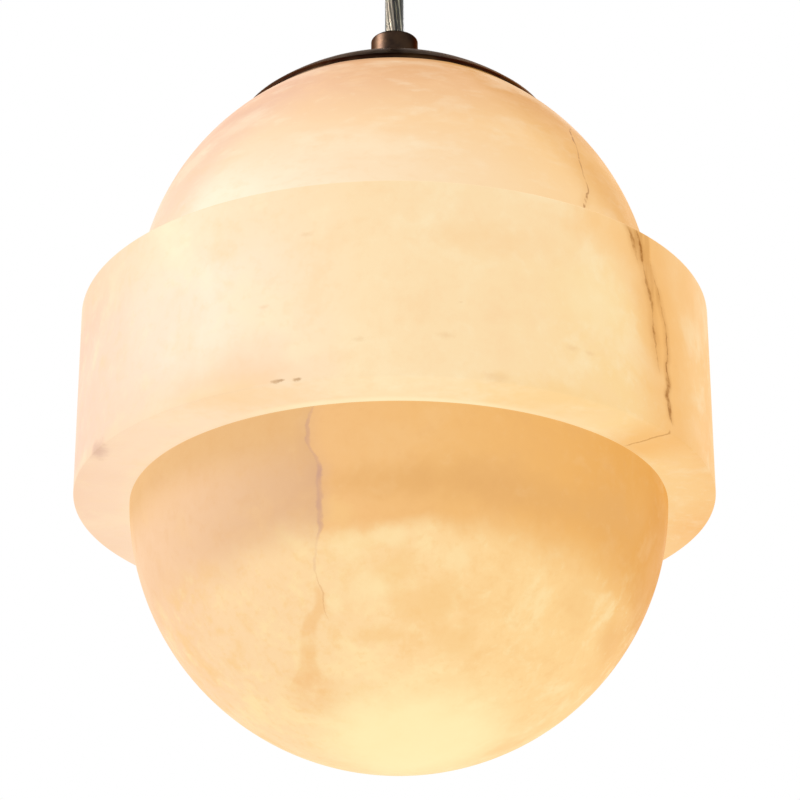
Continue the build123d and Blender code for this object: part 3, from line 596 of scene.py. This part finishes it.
def drumTone(tree, where, x, y, z):
    drift = wandering(tree, where, 0.06, 0.04)
    # Painted light and shade across the drum, over the stone's own tone
    tone = tones(tree, plus(tree, x, drift), drumStone["tones"])
    nearTop = share(tree, plus(tree, z, times(tree, drift, 0.6)), drumTop - 0.034, drumTop - 0.008)
    tone = blend(tree, nearTop, 0.4, tone, drumStone["topTone"])
    tone = clouded(tree, where, tone, drumStone["pale"], drumStone["warm"], 0.036, 0.5)
    for pixel, size, strength, colour in drumStone["patches"]:
        patch = fleck(tree, where, seenOnDrum(pixel), [part / 1000 for part in size], 0.9)
        patch = times(tree, patch, share(tree, z, drumFoot + 0.0002, drumFoot + 0.0012))
        tone = blend(tree, patch, strength, tone, colour)
    wander = wandering(tree, where, 0.004, 0.003, detail=5, roughness=0.72)
    across = plus(tree, bearing(tree, x, y, drumRadius), wander)
    veins = [
        seenVein(tree, z, across, seenOnDrum, drumRadius, drumStone[route])
        for route in ("innerRoute", "outerRoute", "wedgeRoute")
    ]
    (inner, _, innerHere), (outer, _, _), (wedge, _, wedgeHere) = veins
    outwards = radiusOf(tree, x, y)
    onWall = share(tree, outwards, drumRadius - 0.006, drumRadius - 0.002)
    # The stone turns more orange to the right of the vein
    beyond = times(tree, share(tree, outer, -0.03, -0.001), share(tree, outer, 0.034, 0.004))
    tone = blend(tree, beyond, 0.7, tone, drumStone["stain"])
    soaked = times(tree, share(tree, inner, -0.0012, 0.0012), share(tree, outer, 0.0014, -0.001))
    soaked = times(tree, soaked, innerHere)
    tone = blend(tree, times(tree, soaked, onWall), 0.75, tone, drumStone["stain"])
    halo = 0.0
    for (offset, _, strength), reach in zip(veins, (0.0026, 0.002, 0.0022)):
        halo = larger(tree, halo, strand(tree, offset, reach, strength, 1.0))
    tone = blend(tree, times(tree, halo, onWall), 0.55, tone, drumStone["veinBand"])
    streaks = share(tree, cloud(tree, where, 0.005, detail=5, stretch=(2, 2, 0.4)), 0.3, 0.65, 0.3, 1.0)
    smokeLow, smokeHigh = [seenOnDrum(pixel).z for pixel in drumStone["smoke"]]
    smoke = times(tree, share(tree, inner, -0.0005, 0.0008), share(tree, outer, 0.0004, -0.0012))
    smoke = times(tree, smoke, times(tree, streaks, share(tree, z, smokeLow, smokeHigh)))
    tone = blend(tree, times(tree, smoke, onWall), 0.4, tone, drumStone["veinBand"])
    upper = times(tree, share(tree, wedge, -0.0006, 0.0008), share(tree, inner, 0.0006, -0.0004))
    upper = times(tree, upper, times(tree, streaks, wedgeHere))
    tone = blend(tree, times(tree, upper, onWall), 0.8, tone, drumStone["veinBand"])
    uneven = share(tree, cloud(tree, where, 0.0035, detail=5, roughness=0.6), 0.35, 0.62, 0.25, 1.0)
    line = 0.0
    for offset, half, strength in veins:
        line = larger(tree, line, strand(tree, offset, half, strength))
    tone = mixed(tree, times(tree, times(tree, line, uneven), onWall), tone, drumStone["vein"])
    crack = []
    for pixel in drumStone["crackRoute"]:
        hit = seenOnLevel(pixel, drumFoot)
        run = atan2(hit.x, -hit.y) * drumRadius
        crack.append((hypot(hit.x, hit.y), run, drumStone["crackWidth"], drumStone["crackStrength"]))
    offset, half, strength = vein(tree, outwards, across, crack)
    onFoot = share(tree, z, drumFoot + 0.002, drumFoot + 0.0005)
    tone = mixed(tree, times(tree, strand(tree, offset, half, strength), onFoot), tone, drumStone["vein"])
    for pixelX, pixelY, size in drumStone["flecks"]:
        reach = size / 1000
        blot = fleck(tree, where, seenOnDrum((pixelX, pixelY)), (reach, reach, reach * 0.4), 0.7)
        tone = blend(tree, blot, 0.9, tone, drumStone["fleckTone"])
    footLeft = times(tree, share(tree, z, drumFoot + 0.008, drumFoot), share(tree, x, -0.02, -0.07))
    tone = blend(tree, footLeft, 0.5, tone, drumStone["footTone"])
    for pixel, colour in drumStone["footFlecks"]:
        warmFoot = fleck(tree, where, seenOnLevel(pixel, drumFoot), (0.034, 0.018, 0.006), 0.9)
        tone = blend(tree, warmFoot, 0.6, tone, colour)
    smudge = fleck(tree, where, seenOnDrum(drumStone["smudge"]), (0.005, 0.009, 0.0055), 0.9)
    tone = blend(tree, smudge, 0.55, tone, drumStone["smudgeTone"])
    for pixelX, pixelY, size in drumStone["faintMarks"]:
        reach = size / 1000
        mark = fleck(tree, where, seenOnDrum((pixelX, pixelY)), (reach, reach, reach / 2.2), 1.0)
        tone = blend(tree, mark, 0.22, tone, drumStone["faintTone"])
    lip = times(tree, share(tree, outwards, *drumStone["lipRun"]), onFoot)
    lip = times(tree, lip, share(tree, maths(tree, "ABSOLUTE", x), 0.07, 0.03, 0.2, 1.0))
    return blend(tree, lip, 0.6, tone, drumStone["lipGlow"])


# Lower bowl
bowlStone = {
    "wall": 0.010,
    "neck": 0.1148,
    "neckWall": 0.0098,
    "shoulder": 0.002,
    "shoulderGap": 0.0004,  # between its shoulder and the drum's foot
    # Tones from left to right: the upper zone of painted shade, left and right of the vein, then the paler
    # zone of painted glow under it, darker towards both edges
    "shadedLeft": (
        (-117, paint(245, 202, 160)), (-95, paint(245, 202, 160)), (-65, paint(236, 192, 149)),
        (-32, paint(227, 180, 134)),
    ),
    "shadedRight": (
        (-32, paint(245, 193, 131)), (20, paint(243, 189, 119)), (70, paint(240, 181, 104)),
        (100, paint(235, 172, 90)), (117, paint(228, 160, 74)),
    ),
    "glow": (
        (-117, paint(234, 184, 136)), (-100, paint(247, 204, 160)), (-70, paint(252, 214, 166)),
        (-30, paint(253, 216, 162)), (40, paint(254, 214, 151)), (75, paint(254, 212, 146)),
        (95, paint(247, 195, 122)), (108, paint(233, 172, 95)), (117, paint(222, 154, 70)),
    ),
    "shadeLevel": -0.4078,  # the upper zone ends at about this height
    "shadedTopTint": paint(238, 188, 126),
    "shadedPale": paint(248, 204, 146),
    "shadedWarm": paint(229, 172, 108),
    # Darker spots within the painted shade of the upper zone: pixel and half size
    "darkerSpots": (
        ((390, 480), (0.034, 0.034, 0.007)), ((470, 478), (0.03, 0.03, 0.009)),
        ((540, 498), (0.03, 0.03, 0.008)), ((610, 512), (0.02, 0.02, 0.012)),
    ),
    "darkerSpotTone": paint(229, 173, 105),
    # Painted pool of light round the bottom, and its centre
    "pooledLight": paint(255, 239, 182),
    "pooledLightCentre": (0.010, -0.022, -0.476),
    "pale": paint(255, 226, 168),
    "warm": paint(249, 202, 136),
    "milky": paint(255, 229, 173),
    "golden": paint(247, 200, 132),
    # Clouds in the paler zone: pixel, half length and half height in millimetres, milky or golden
    "clouds": (
        (348, 547, 9, 8, "milky"), (386, 536, 9, 4.5, "milky"), (370, 588, 12, 6, "milky"),
        (457, 558, 6, 6, "milky"), (334, 603, 4, 6, "milky"), (575, 600, 12, 10, "golden"),
        (415, 604, 14, 8, "golden"), (334, 512, 8, 6, "golden"), (399, 568, 10, 7, "golden"),
        (441, 600, 9, 13, "golden"), (380, 634, 12, 3.5, "golden"), (452, 640, 10, 7, "golden"),
    ),
    "vein": paint(203, 158, 136),
    "halo": paint(220, 174, 138),
    "thread": paint(218, 166, 112),
    "streak": paint(244, 191, 126),
    # Veins: pixel, width in millimetres, strength
    "veinRoute": (
        (312.4, 405, 1.0, 0.25), (308.5, 416, 1.3, 0.35), (306.5, 424, 1.6, 0.5), (307.5, 432, 1.5, 0.45),
        (307, 439, 1.7, 0.5), (309, 446, 1.4, 0.4), (313.5, 453, 1.3, 0.35), (317.8, 462, 1.7, 0.5),
        (319.3, 471, 2.4, 0.8), (318, 482, 2.2, 0.6), (319.5, 493, 2.6, 0.65), (318, 504, 2.4, 0.65),
        (319.5, 514, 2.5, 0.65), (320.5, 525, 2.1, 0.55), (317.4, 534, 1.5, 0.4), (316.3, 545, 1.2, 0.2),
        (314.3, 558, 1.2, 0.2), (314.1, 569.7, 1.4, 0.28),
    ),
    "threadRoute": (
        (314.1, 570, 0.7, 0.35), (317.8, 581.7, 0.6, 0.4), (322.2, 592.5, 0.8, 0.55),
        (323.2, 605, 0.6, 0.5), (327.6, 618.5, 0.6, 0.3),
    ),
    # Two edges of the broad streak under the vein
    "streakLeft": (
        (314, 585), (313.5, 605), (304.8, 616), (300.5, 627), (298.3, 640), (297.9, 664), (293, 675),
        (284, 690),
    ),
    "streakRight": (
        (316, 585), (323, 606), (318, 617), (313.5, 629), (313.5, 651), (316.7, 668), (326, 679),
        (340, 690),
    ),
    "blotch": (311, 690),
    "patch": (608, 640),
    "patchTone": paint(240, 184, 112),
}


def seenOnBowl(pixel):
    return seenOnSphere(pixel, bowlRadius, bowlCentre)


def bowlTone(tree, where, x, y, z):
    wander = wandering(tree, where, 0.004, 0.003, detail=5, roughness=0.68)
    across = plus(tree, bearing(tree, x, y, bowlRadius), wander)
    offset, half, strength = seenVein(tree, z, across, seenOnBowl, bowlRadius, bowlStone["veinRoute"])
    rightSide = times(tree, share(tree, offset, -0.0006, 0.0006), share(tree, y, 0.06, 0.01))
    # Behind the stone the two sides run into each other
    behind = times(tree, share(tree, x, -0.07, 0.07), share(tree, y, 0.01, 0.06))
    rightSide = plus(tree, rightSide, behind)
    drift = wandering(tree, where, 0.03, 0.03, detail=3)
    slid = plus(tree, x, drift)
    # Painted shade over the upper zone; on the left it deepens just under the drum
    shadedLeft = tones(tree, slid, bowlStone["shadedLeft"])
    high = share(tree, plus(tree, z, times(tree, drift, 0.5)), -0.392, -0.366)
    shadedLeft = blend(tree, high, 0.8, shadedLeft, bowlStone["shadedTopTint"])
    shadedRight = tones(tree, slid, bowlStone["shadedRight"])
    for pixel, size in bowlStone["darkerSpots"]:
        darkerSpot = fleck(tree, where, seenOnBowl(pixel), size, 1.0)
        shadedRight = blend(tree, darkerSpot, 0.5, shadedRight, bowlStone["darkerSpotTone"])
    shadedZone = mixed(tree, rightSide, shadedLeft, shadedRight)
    shadedZone = clouded(tree, where, shadedZone, bowlStone["shadedPale"], bowlStone["shadedWarm"], 0.03, 0.3)
    glow = tones(tree, slid, bowlStone["glow"])
    glow = clouded(tree, where, glow, bowlStone["pale"], bowlStone["warm"], 0.025, 1.0)
    ripple = wandering(tree, where, 0.03, 0.014, detail=5, roughness=0.5, warp=0.4)
    level = plus(tree, z, ripple)
    edge = bowlStone["shadeLevel"]
    # The painted shade ends sharp beside the vein, wide to the right of it
    spread = share(tree, x, 0.0, 0.085)
    highest = maths(tree, "MULTIPLY_ADD", spread, 0.007, edge + 0.0035)
    lowest = maths(tree, "MULTIPLY_ADD", spread, -0.012, edge - 0.0045)
    crisp = share(tree, level, highest, lowest)
    lift = share(tree, x, -0.075, -0.035, edge - 0.002, edge + 0.005)
    vague = share(tree, maths(tree, "SUBTRACT", level, lift), 0.007, -0.015)
    # Painted shade above the edge, painted glow from inside below it
    tone = mixed(tree, mixed(tree, rightSide, vague, crisp), shadedZone, glow)
    away = vectorMaths(tree, "SUBTRACT", where, bowlStone["pooledLightCentre"])
    away = vectorMaths(tree, "LENGTH", away, (0, 0, 0), "Value")
    away = plus(tree, away, times(tree, ripple, 1.4))
    # Painted pool of light round the bottom of the bowl
    tone = blend(tree, share(tree, away, 0.056, 0.020), 0.85, tone, bowlStone["pooledLight"])
    for pixelX, pixelY, length, height, kind in bowlStone["clouds"]:
        size = (length / 1000, length / 1000, height / 1000)
        spot = fleck(tree, where, seenOnBowl((pixelX, pixelY)), size, 0.7)
        tone = blend(tree, spot, 0.5, tone, bowlStone[kind])
    uneven = share(tree, cloud(tree, where, 0.006, detail=4), 0.3, 0.6, 0.6, 1.0)
    overEdge = share(tree, z, edge - 0.002, edge + 0.006)
    halo = times(tree, strand(tree, offset, 0.004, strength, 1.0), overEdge)
    tone = blend(tree, halo, 0.45, tone, bowlStone["halo"])
    line = times(tree, strand(tree, offset, half, strength), uneven)
    tone = mixed(tree, line, tone, bowlStone["vein"])
    (left, _, leftHere), (right, _, rightHere) = [
        seenVein(tree, z, across, seenOnBowl, bowlRadius, [(*pixel, 1, 1) for pixel in bowlStone[side]])
        for side in ("streakLeft", "streakRight")
    ]
    inside = times(tree, share(tree, left, -0.002, 0.002), share(tree, right, 0.0035, -0.001))
    inside = times(tree, inside, maths(tree, "MINIMUM", leftHere, rightHere))
    patchy = share(tree, cloud(tree, where, 0.009, detail=5, roughness=0.6), 0.3, 0.6, 0.4, 1.0)
    tone = blend(tree, times(tree, inside, patchy), 0.6, tone, bowlStone["streak"])
    blotch = fleck(tree, where, seenOnBowl(bowlStone["blotch"]), (0.014, 0.014, 0.010), 1.0)
    tone = blend(tree, times(tree, blotch, patchy), 0.5, tone, bowlStone["streak"])
    offset, half, strength = seenVein(tree, z, across, seenOnBowl, bowlRadius, bowlStone["threadRoute"])
    line = times(tree, strand(tree, offset, half, strength), uneven)
    tone = mixed(tree, line, tone, bowlStone["thread"])
    patch = fleck(tree, where, seenOnBowl(bowlStone["patch"]), (0.008, 0.016, 0.007), 1.0)
    return blend(tree, patch, 0.6, tone, bowlStone["patchTone"])


def turnDome():
    inner = domeRadius - domeStone["wall"]
    hatch = domeStone["hatch"]
    sunk = domeCentre - domeLow[2] - domeStone["lift"]
    outerFoot = 90 + degrees(asin(sunk / domeRadius))
    innerFoot = 90 + degrees(asin(sunk / inner))
    outline = arcRun(domeRadius, domeCentre, degrees(asin(hatch / domeRadius)), outerFoot)
    outline += arcRun(inner, domeCentre, innerFoot, degrees(asin(hatch / inner)))
    outline[0] = (*outline[0][:2], domeStone["edge"])
    outline[-1] = (*outline[-1][:2], domeStone["edge"])
    finish = alabasterFinish("domeAlabaster", domeTone)
    piece = turned("upperDome", outline, "dome", finish, waver=alabaster["polishWaver"])
    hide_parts("upper_dome")
    print("upper dome turned")


def turnDrum():
    wall, flange, rebateDepth = drumStone["wall"], drumStone["flange"], drumStone["rebate"]
    opening = bowlStone["neck"] + drumStone["neckGap"]
    rebate = sqrt(domeRadius**2 - domeRise**2) + drumStone["rebateGap"]
    lip = domeRadius - domeStone["wall"] - drumStone["lipStep"]
    inner = drumRadius - wall
    stops = [
        (lip, drumTop - flange, 0),
        (lip, drumTop - rebateDepth, 0),
        (rebate, drumTop - rebateDepth, 0),
        (rebate, drumTop, 0),
        (drumRadius, drumTop, drumStone["edge"]),
        (drumRadius, drumFoot, drumStone["edge"]),
        (opening, drumFoot, drumStone["footEdge"]),
        (opening, drumFoot + flange, 0),
        (inner, drumFoot + flange, drumStone["innerEdge"]),
        (inner, drumTop - flange, drumStone["innerEdge"]),
    ]
    outline = []
    for stop, following in zip(stops, stops[1:] + stops[:1]):
        outline.append(stop)
        outline += straightRun(stop[:2], following[:2])

    def seatAside(radius, height):
        inSeat = radius < opening + 0.004 and height < drumFoot + flange + 0.001
        return alabaster["aside"] if inSeat else 0.0

    finish = alabasterFinish("drumAlabaster", drumTone)
    piece = turned(
        "drumBand", outline, "pendant", finish, around=320, waver=alabaster["polishWaver"],
        offCentre=seatAside,
    )
    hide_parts("drum_band")
    print("drum turned")


def turnBowl():
    inner = bowlRadius - bowlStone["wall"]
    neck = bowlStone["neck"]
    neckInner = neck - bowlStone["neckWall"]
    rim = bowlHigh[2]
    shoulder = drumFoot - bowlStone["shoulderGap"]
    outerAngle = 90 + degrees(asin((bowlCentre - shoulder) / bowlRadius))
    innerAngle = 180 - degrees(asin(neckInner / inner))
    outline = arcRun(bowlRadius, bowlCentre, outerAngle, 180)
    outline[0] = (*outline[0][:2], bowlStone["shoulder"])
    outline += arcRun(inner, bowlCentre, 180, innerAngle)
    outline += straightRun((neckInner, outline[-1][1]), (neckInner, rim))
    outline += [(neckInner, rim, 0), (neck, rim, 0)]
    outline += straightRun((neck, rim), (neck, shoulder))
    outline.append((neck, shoulder, 0))
    finish = alabasterFinish("bowlAlabaster", bowlTone)
    piece = turned(
        "lowerBowl", outline, "pendant", finish, around=256, waver=alabaster["polishWaver"],
        offCentre=lambda radius, height: alabaster["aside"],
    )
    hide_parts("lower_bowl")
    print("lower bowl turned")


turnDome()
turnDrum()
turnBowl()

bronze = {
    "deep": (0.018, 0.0115, 0.0095, 1),
    "rubbed": (0.046, 0.027, 0.016, 1),
    "edgeTint": (0.55, 0.4, 0.3, 1),
    "roughness": (0.34, 0.42),
    "scratch": 0.00001,
}


def bronzeFinish():
    # Oil-darkened, spun: fine rings round the axis and a cloudy patina
    finish, tree, shader = newFinish("darkBronze", Metallic=1.0, Specular_Tint=bronze["edgeTint"])
    where = coordinates(tree)
    patina = share(tree, cloud(tree, where, 0.012, detail=5, roughness=0.6), 0.35, 0.7)
    tree.links.new(mixed(tree, patina, bronze["deep"], bronze["rubbed"]), shader.inputs["Base Color"])
    gloss = share(tree, cloud(tree, where, 0.006, detail=4), 0.3, 0.7, *bronze["roughness"])
    tree.links.new(gloss, shader.inputs["Roughness"])
    rings = cloud(tree, where, 0.0006, detail=2, stretch=(0.06, 0.06, 1))
    relief(tree, shader, rings, bronze["scratch"])
    return finish


def coat(finish, *names):
    for name in names:
        for slot in nodes[name].material_slots:
            slot.material = finish


coat(bronzeFinish(), "canopy", "canopy_cord_grip", "collar", "cap", "side_screws")
print("bronze coated")


def variedFinish(name, first, second, grain, roughness, depth=0.00001, stretch=(1, 1, 1), **settings):
    # Two close tones, uneven gloss and a little relief
    finish, tree, shader = newFinish(name, **settings)
    where = coordinates(tree)
    speck = cloud(tree, where, grain, detail=4, roughness=0.6, stretch=stretch)
    tree.links.new(mixed(tree, share(tree, speck, 0.3, 0.7), first, second), shader.inputs["Base Color"])
    uneven = cloud(tree, where, grain * 2.5, detail=3)
    tree.links.new(share(tree, uneven, 0.3, 0.7, *roughness), shader.inputs["Roughness"])
    relief(tree, shader, speck, depth)
    return finish


def frostedFinish():
    finish, tree, shader = newFinish("frostedGlass", Roughness=0.55, Emission_Strength=1.4)
    where = coordinates(tree)
    frost = cloud(tree, where, 0.001, detail=4)
    tone = mixed(tree, share(tree, frost, 0.3, 0.7), paint(255, 236, 204), paint(255, 228, 188))
    tree.links.new(tone, shader.inputs["Base Color"])
    tree.links.new(tone, shader.inputs["Emission Color"])
    relief(tree, shader, frost, 0.00002)
    return finish


lamps = [name for name in nodes if name.startswith("bulb_")]
lampFeet = [name for name in lamps if name.endswith("_base")]
# Name, two tones, size of the specks, least and most roughness, what else it has, and its pieces
plainFinishes = (
    ("zincPlate", (186, 190, 196), (160, 164, 168), 0.002, (0.28, 0.42), {"Metallic": 1.0},
     ("ceiling_bracket", "stem_washers", "clip_screws", "lamp_plate_screws")),
    ("turnedSteel", (190, 190, 190), (158, 158, 158), 0.0006, (0.25, 0.4),
     {"Metallic": 1.0, "depth": 0.000006, "stretch": (0.2, 0.2, 1)}, ("stem",)),
    ("nutBrass", (206, 172, 104), (180, 146, 84), 0.003, (0.25, 0.38), {"Metallic": 1.0},
     ("earth_screw", "grip_lock_nut", "terminal_screws", "bowl_clips", "clip_inserts", "stem_nuts")),
    ("nylon", (224, 218, 204), (212, 206, 190), 0.004, (0.4, 0.55), {}, ("grip_sleeve",)),
    ("siliconeSheath", (226, 220, 206), (208, 200, 184), 0.0015, (0.5, 0.65), {"depth": 0.00004},
     ("supply_leads", "lamp_leads")),
    ("blockWhite", (232, 232, 228), (218, 218, 212), 0.003, (0.3, 0.45), {}, ("terminal_block",)),
    ("rubber", (34, 33, 32), (48, 47, 46), 0.001, (0.6, 0.8), {"depth": 0.00003},
     ("collar_bushing", "clip_pads", "arm_pads")),
    ("felt", (92, 80, 66), (66, 57, 47), 0.0007, (0.9, 1.0), {"depth": 0.0002, "Sheen_Weight": 0.5},
     ("cap_gasket",)),
    ("silicone", (226, 224, 218), (214, 211, 203), 0.003, (0.35, 0.5), {}, ("dome_seat_gasket",)),
    ("powderCoat", (232, 231, 226), (220, 219, 213), 0.0008, (0.45, 0.6), {"depth": 0.00003},
     ("carrier", "wiring_cup", "lamp_plate")),
    ("glazedCeramic", (236, 232, 222), (224, 219, 207), 0.004, (0.15, 0.3), {"depth": 0.00002},
     ("lamp_holders",)),
    ("bulbCeramic", (240, 238, 232), (226, 223, 214), 0.002, (0.5, 0.7), {"depth": 0.00002}, lampFeet),
)
for name, light, dark, grain, roughness, more, pieces in plainFinishes:
    coat(variedFinish(name, paint(*light), paint(*dark), grain, roughness, **more), *pieces)
coat(frostedFinish(), *[name for name in lamps if name not in lampFeet])
print("plain finishes coated")

cordSettings = {
    "radius": 0.0045,
    "foot": -0.1377,  # its end in the stem
    "head": -0.0290,  # its end in the gland, just above the point that it swings on
    "mouth": -0.1230,  # where it leaves the collar
    "lay": 0.24,  # height of one turn of the cores
    "wireLay": 0.11,  # and of the wires in a core
    "row": 0.0012,  # height of one row of a core's faces
    "sidesPerWire": 8,
    "inset": 0.0004,  # the cores end this far inside the jacket
    # bearing at the collar from the camera's side, distance from the axis, radius, wires that show, depth
    # of the grooves between them, and finish
    "cores": (
        (-35, 0.00222, 0.0019, 6, 0.0004, "tinned"),
        # Painted shade: the two dark cores stand for the shaded side of the cord
        (85, 0.00222, 0.0019, 6, 0.0003, "dark"),
        (205, 0.00222, 0.0019, 6, 0.0003, "dark"),
        # Painted highlight: the thin bright wire stands for a glint in the clear jacket
        (60, 0.00392, 0.00036, 3, 0.00006, "glint"),
    ),
}


def jacketFinish():
    finish, tree, shader = newFinish("clearJacket", IOR=1.45, Transmission_Weight=1.0, Roughness=0.03)
    where = coordinates(tree)
    haze = share(tree, cloud(tree, where, 0.01, detail=3), 0.3, 0.7)
    tone = mixed(tree, haze, paint(206, 204, 194), paint(192, 190, 180))
    tree.links.new(tone, shader.inputs["Base Color"])
    relief(tree, shader, cloud(tree, where, 0.006, detail=2, stretch=(1, 1, 0.3)), 0.00004)
    return finish


def wireFinish(name, light, dark):
    return variedFinish(name, light, dark, 0.003, (0.25, 0.4), 0.00001, (1, 1, 0.3), Metallic=1.0)


def cordLine(name, heights, radius):
    # Straight spline up the axis
    data = bpy.data.curves.new(name, "CURVE")
    data.dimensions = "3D"
    spline = data.splines.new("NURBS")
    spline.points.add(len(heights) - 1)
    for point, height in zip(spline.points, heights):
        point.co = (0, 0, height, 1)
    spline.order_u = 3
    spline.use_endpoint_u = True
    data.bevel_depth = radius
    data.bevel_resolution = 10
    data.use_fill_caps = True
    piece = bpy.data.objects.new(name, data)
    bpy.context.collection.objects.link(piece)
    return piece


def strandedCore(name, heights, core, finish):
    # Fluted core that lies in a helix: its ridges are the wires
    bearingAtCollar, ringRadius, coreRadius, wires, grooveDepth, _ = core
    low, high = heights
    rows = round((high - low) / cordSettings["row"])
    sides = wires * cordSettings["sidesPerWire"]
    build = bmesh.new()
    rings = []
    for row in range(rows + 1):
        height = low + (high - low) * row / rows
        turn = radians(bearingAtCollar) - 2 * pi * (height - cordSettings["mouth"]) / cordSettings["lay"]
        centre = Vector((sin(turn), -cos(turn), 0)) * ringRadius
        twist = 2 * pi * (height - low) / cordSettings["wireLay"]
        ring = []
        for side in range(sides):
            angle = 2 * pi * side / sides
            ridge = abs(cos(wires * angle / 2))
            reach = coreRadius - grooveDepth * (1 - ridge)
            spoke = Vector((cos(angle - twist), sin(angle - twist), 0)) * reach
            ring.append(build.verts.new(centre + spoke + Vector((0, 0, height))))
        rings.append(ring)
    for ring, following in zip(rings, rings[1:]):
        for side in range(sides):
            other = (side + 1) % sides
            build.faces.new((ring[side], ring[other], following[other], following[side]))
    build.faces.new(rings[0][::-1])
    build.faces.new(rings[-1])
    bmesh.ops.recalc_face_normals(build, faces=build.faces)
    mesh = bpy.data.meshes.new(name)
    build.to_mesh(mesh)
    build.free()
    return shown(name, mesh, "cord", finish)


def layCord():
    foot, head, mouth = cordSettings["foot"], cordSettings["head"], cordSettings["mouth"]
    heights = [foot + (head - foot) * part / 3 for part in range(4)]
    jacket = cordLine("clearCord", heights, cordSettings["radius"])
    jacket.data.materials.append(jacketFinish())
    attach(jacket, "cord")
    finishes = {
        "tinned": wireFinish("tinnedWire", paint(206, 196, 184), paint(172, 160, 148)),
        # Painted shade: the dark wire stands for the cord's shaded side
        "dark": wireFinish("paintedShadeWire", paint(66, 62, 50), paint(40, 38, 30)),
        # Painted highlight: the bright wire stands for a glint in the clear jacket
        "glint": wireFinish("paintedGlintWire", paint(232, 230, 214), paint(196, 194, 176)),
    }
    ends = (foot + cordSettings["inset"], head - cordSettings["inset"])
    for number, core in enumerate(cordSettings["cores"], 1):
        strandedCore(f"cordCore_{number}", ends, core, finishes[core[-1]])
    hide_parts("cord")
    coat(jacket.data.materials[0], "cord_tail", "stem_cord")
    print("cord laid with", len(cordSettings["cores"]), "cores")


layCord()

room = {
    "floorHeight": -2.4,
    "floorSize": 60.0,
    "ambient": 0.76,
    "aim": (0, 0, -0.3),  # the lamps look at this point
    # bearing from the camera's side, height, distance, size and power
    "lamps": {
        "keyLamp": (-76, 0.56, 1.6, (0.5, 0.46), 32),
        "lowLamp": (0, -1.7, 0.5, (0.7, 0.7), 5),
        "topLamp": (150, 1.3, 1.6, (0.8, 0.8), 4),
    },
    # narrow lamp for the collar and the cap
    "collarSpot": {
        "turn": -72, "height": 0.4, "distance": 1.6, "radius": 0.08, "cone": 7.5, "blend": 0.9, "power": 420,
    },
}


def lightWorld():
    world = bpy.data.worlds.new("paleRoom")
    bpy.context.scene.world = world
    world.use_nodes = True
    tree = world.node_tree
    tree.nodes.clear()
    path = tree.nodes.new("ShaderNodeLightPath")
    seen = larger(tree, path.outputs["Is Camera Ray"], path.outputs["Is Glossy Ray"])
    seen = larger(tree, seen, path.outputs["Is Transmission Ray"])
    white = tree.nodes.new("ShaderNodeBackground")
    soft = tree.nodes.new("ShaderNodeBackground")
    white.inputs[0].default_value = (1, 1, 1, 1)
    white.inputs[1].default_value = 1.0
    soft.inputs[0].default_value = (1, 1, 1, 1)
    soft.inputs[1].default_value = room["ambient"]
    choose = tree.nodes.new("ShaderNodeMixShader")
    output = tree.nodes.new("ShaderNodeOutputWorld")
    tree.links.new(seen, choose.inputs[0])
    tree.links.new(soft.outputs[0], choose.inputs[1])
    tree.links.new(white.outputs[0], choose.inputs[2])
    tree.links.new(choose.outputs[0], output.inputs[0])


def aimed(name, data, turn, height, distance, aim):
    lamp = bpy.data.objects.new(name, data)
    side = radians(turn)
    lamp.location = (sin(side) * distance, -cos(side) * distance, height)
    lamp.rotation_euler = (Vector(aim) - lamp.location).to_track_quat("-Z", "Y").to_euler()
    bpy.context.collection.objects.link(lamp)


def hangLamps():
    for name, (turn, height, distance, size, power) in room["lamps"].items():
        data = bpy.data.lights.new(name, "AREA")
        data.shape = "RECTANGLE"
        data.size, data.size_y = size
        data.energy = power
        aimed(name, data, turn, height, distance, room["aim"])


def hangCollarSpot():
    spot = room["collarSpot"]
    data = bpy.data.lights.new("collarSpot", "SPOT")
    data.energy = spot["power"]
    data.shadow_soft_size = spot["radius"]
    data.spot_size = radians(spot["cone"])
    data.spot_blend = spot["blend"]
    aimed("collarSpot", data, spot["turn"], spot["height"], spot["distance"], (0, 0, cordSettings["mouth"]))


def layFloor():
    half = room["floorSize"] / 2
    mesh = bpy.data.meshes.new("floor")
    sides = ((-1, -1), (1, -1), (1, 1), (-1, 1))
    corners = [(side * half, front * half, room["floorHeight"]) for side, front in sides]
    mesh.from_pydata(corners, [], [(0, 1, 2, 3)])
    finish = variedFinish("paleFloor", paint(246, 246, 246), paint(242, 242, 242), 0.8, (0.7, 0.8))
    mesh.materials.append(finish)
    floor = bpy.data.objects.new("floor", mesh)
    bpy.context.collection.objects.link(floor)


lightWorld()
hangLamps()
hangCollarSpot()
layFloor()
bpy.context.scene.view_settings.view_transform = "Standard"
print("room lit")
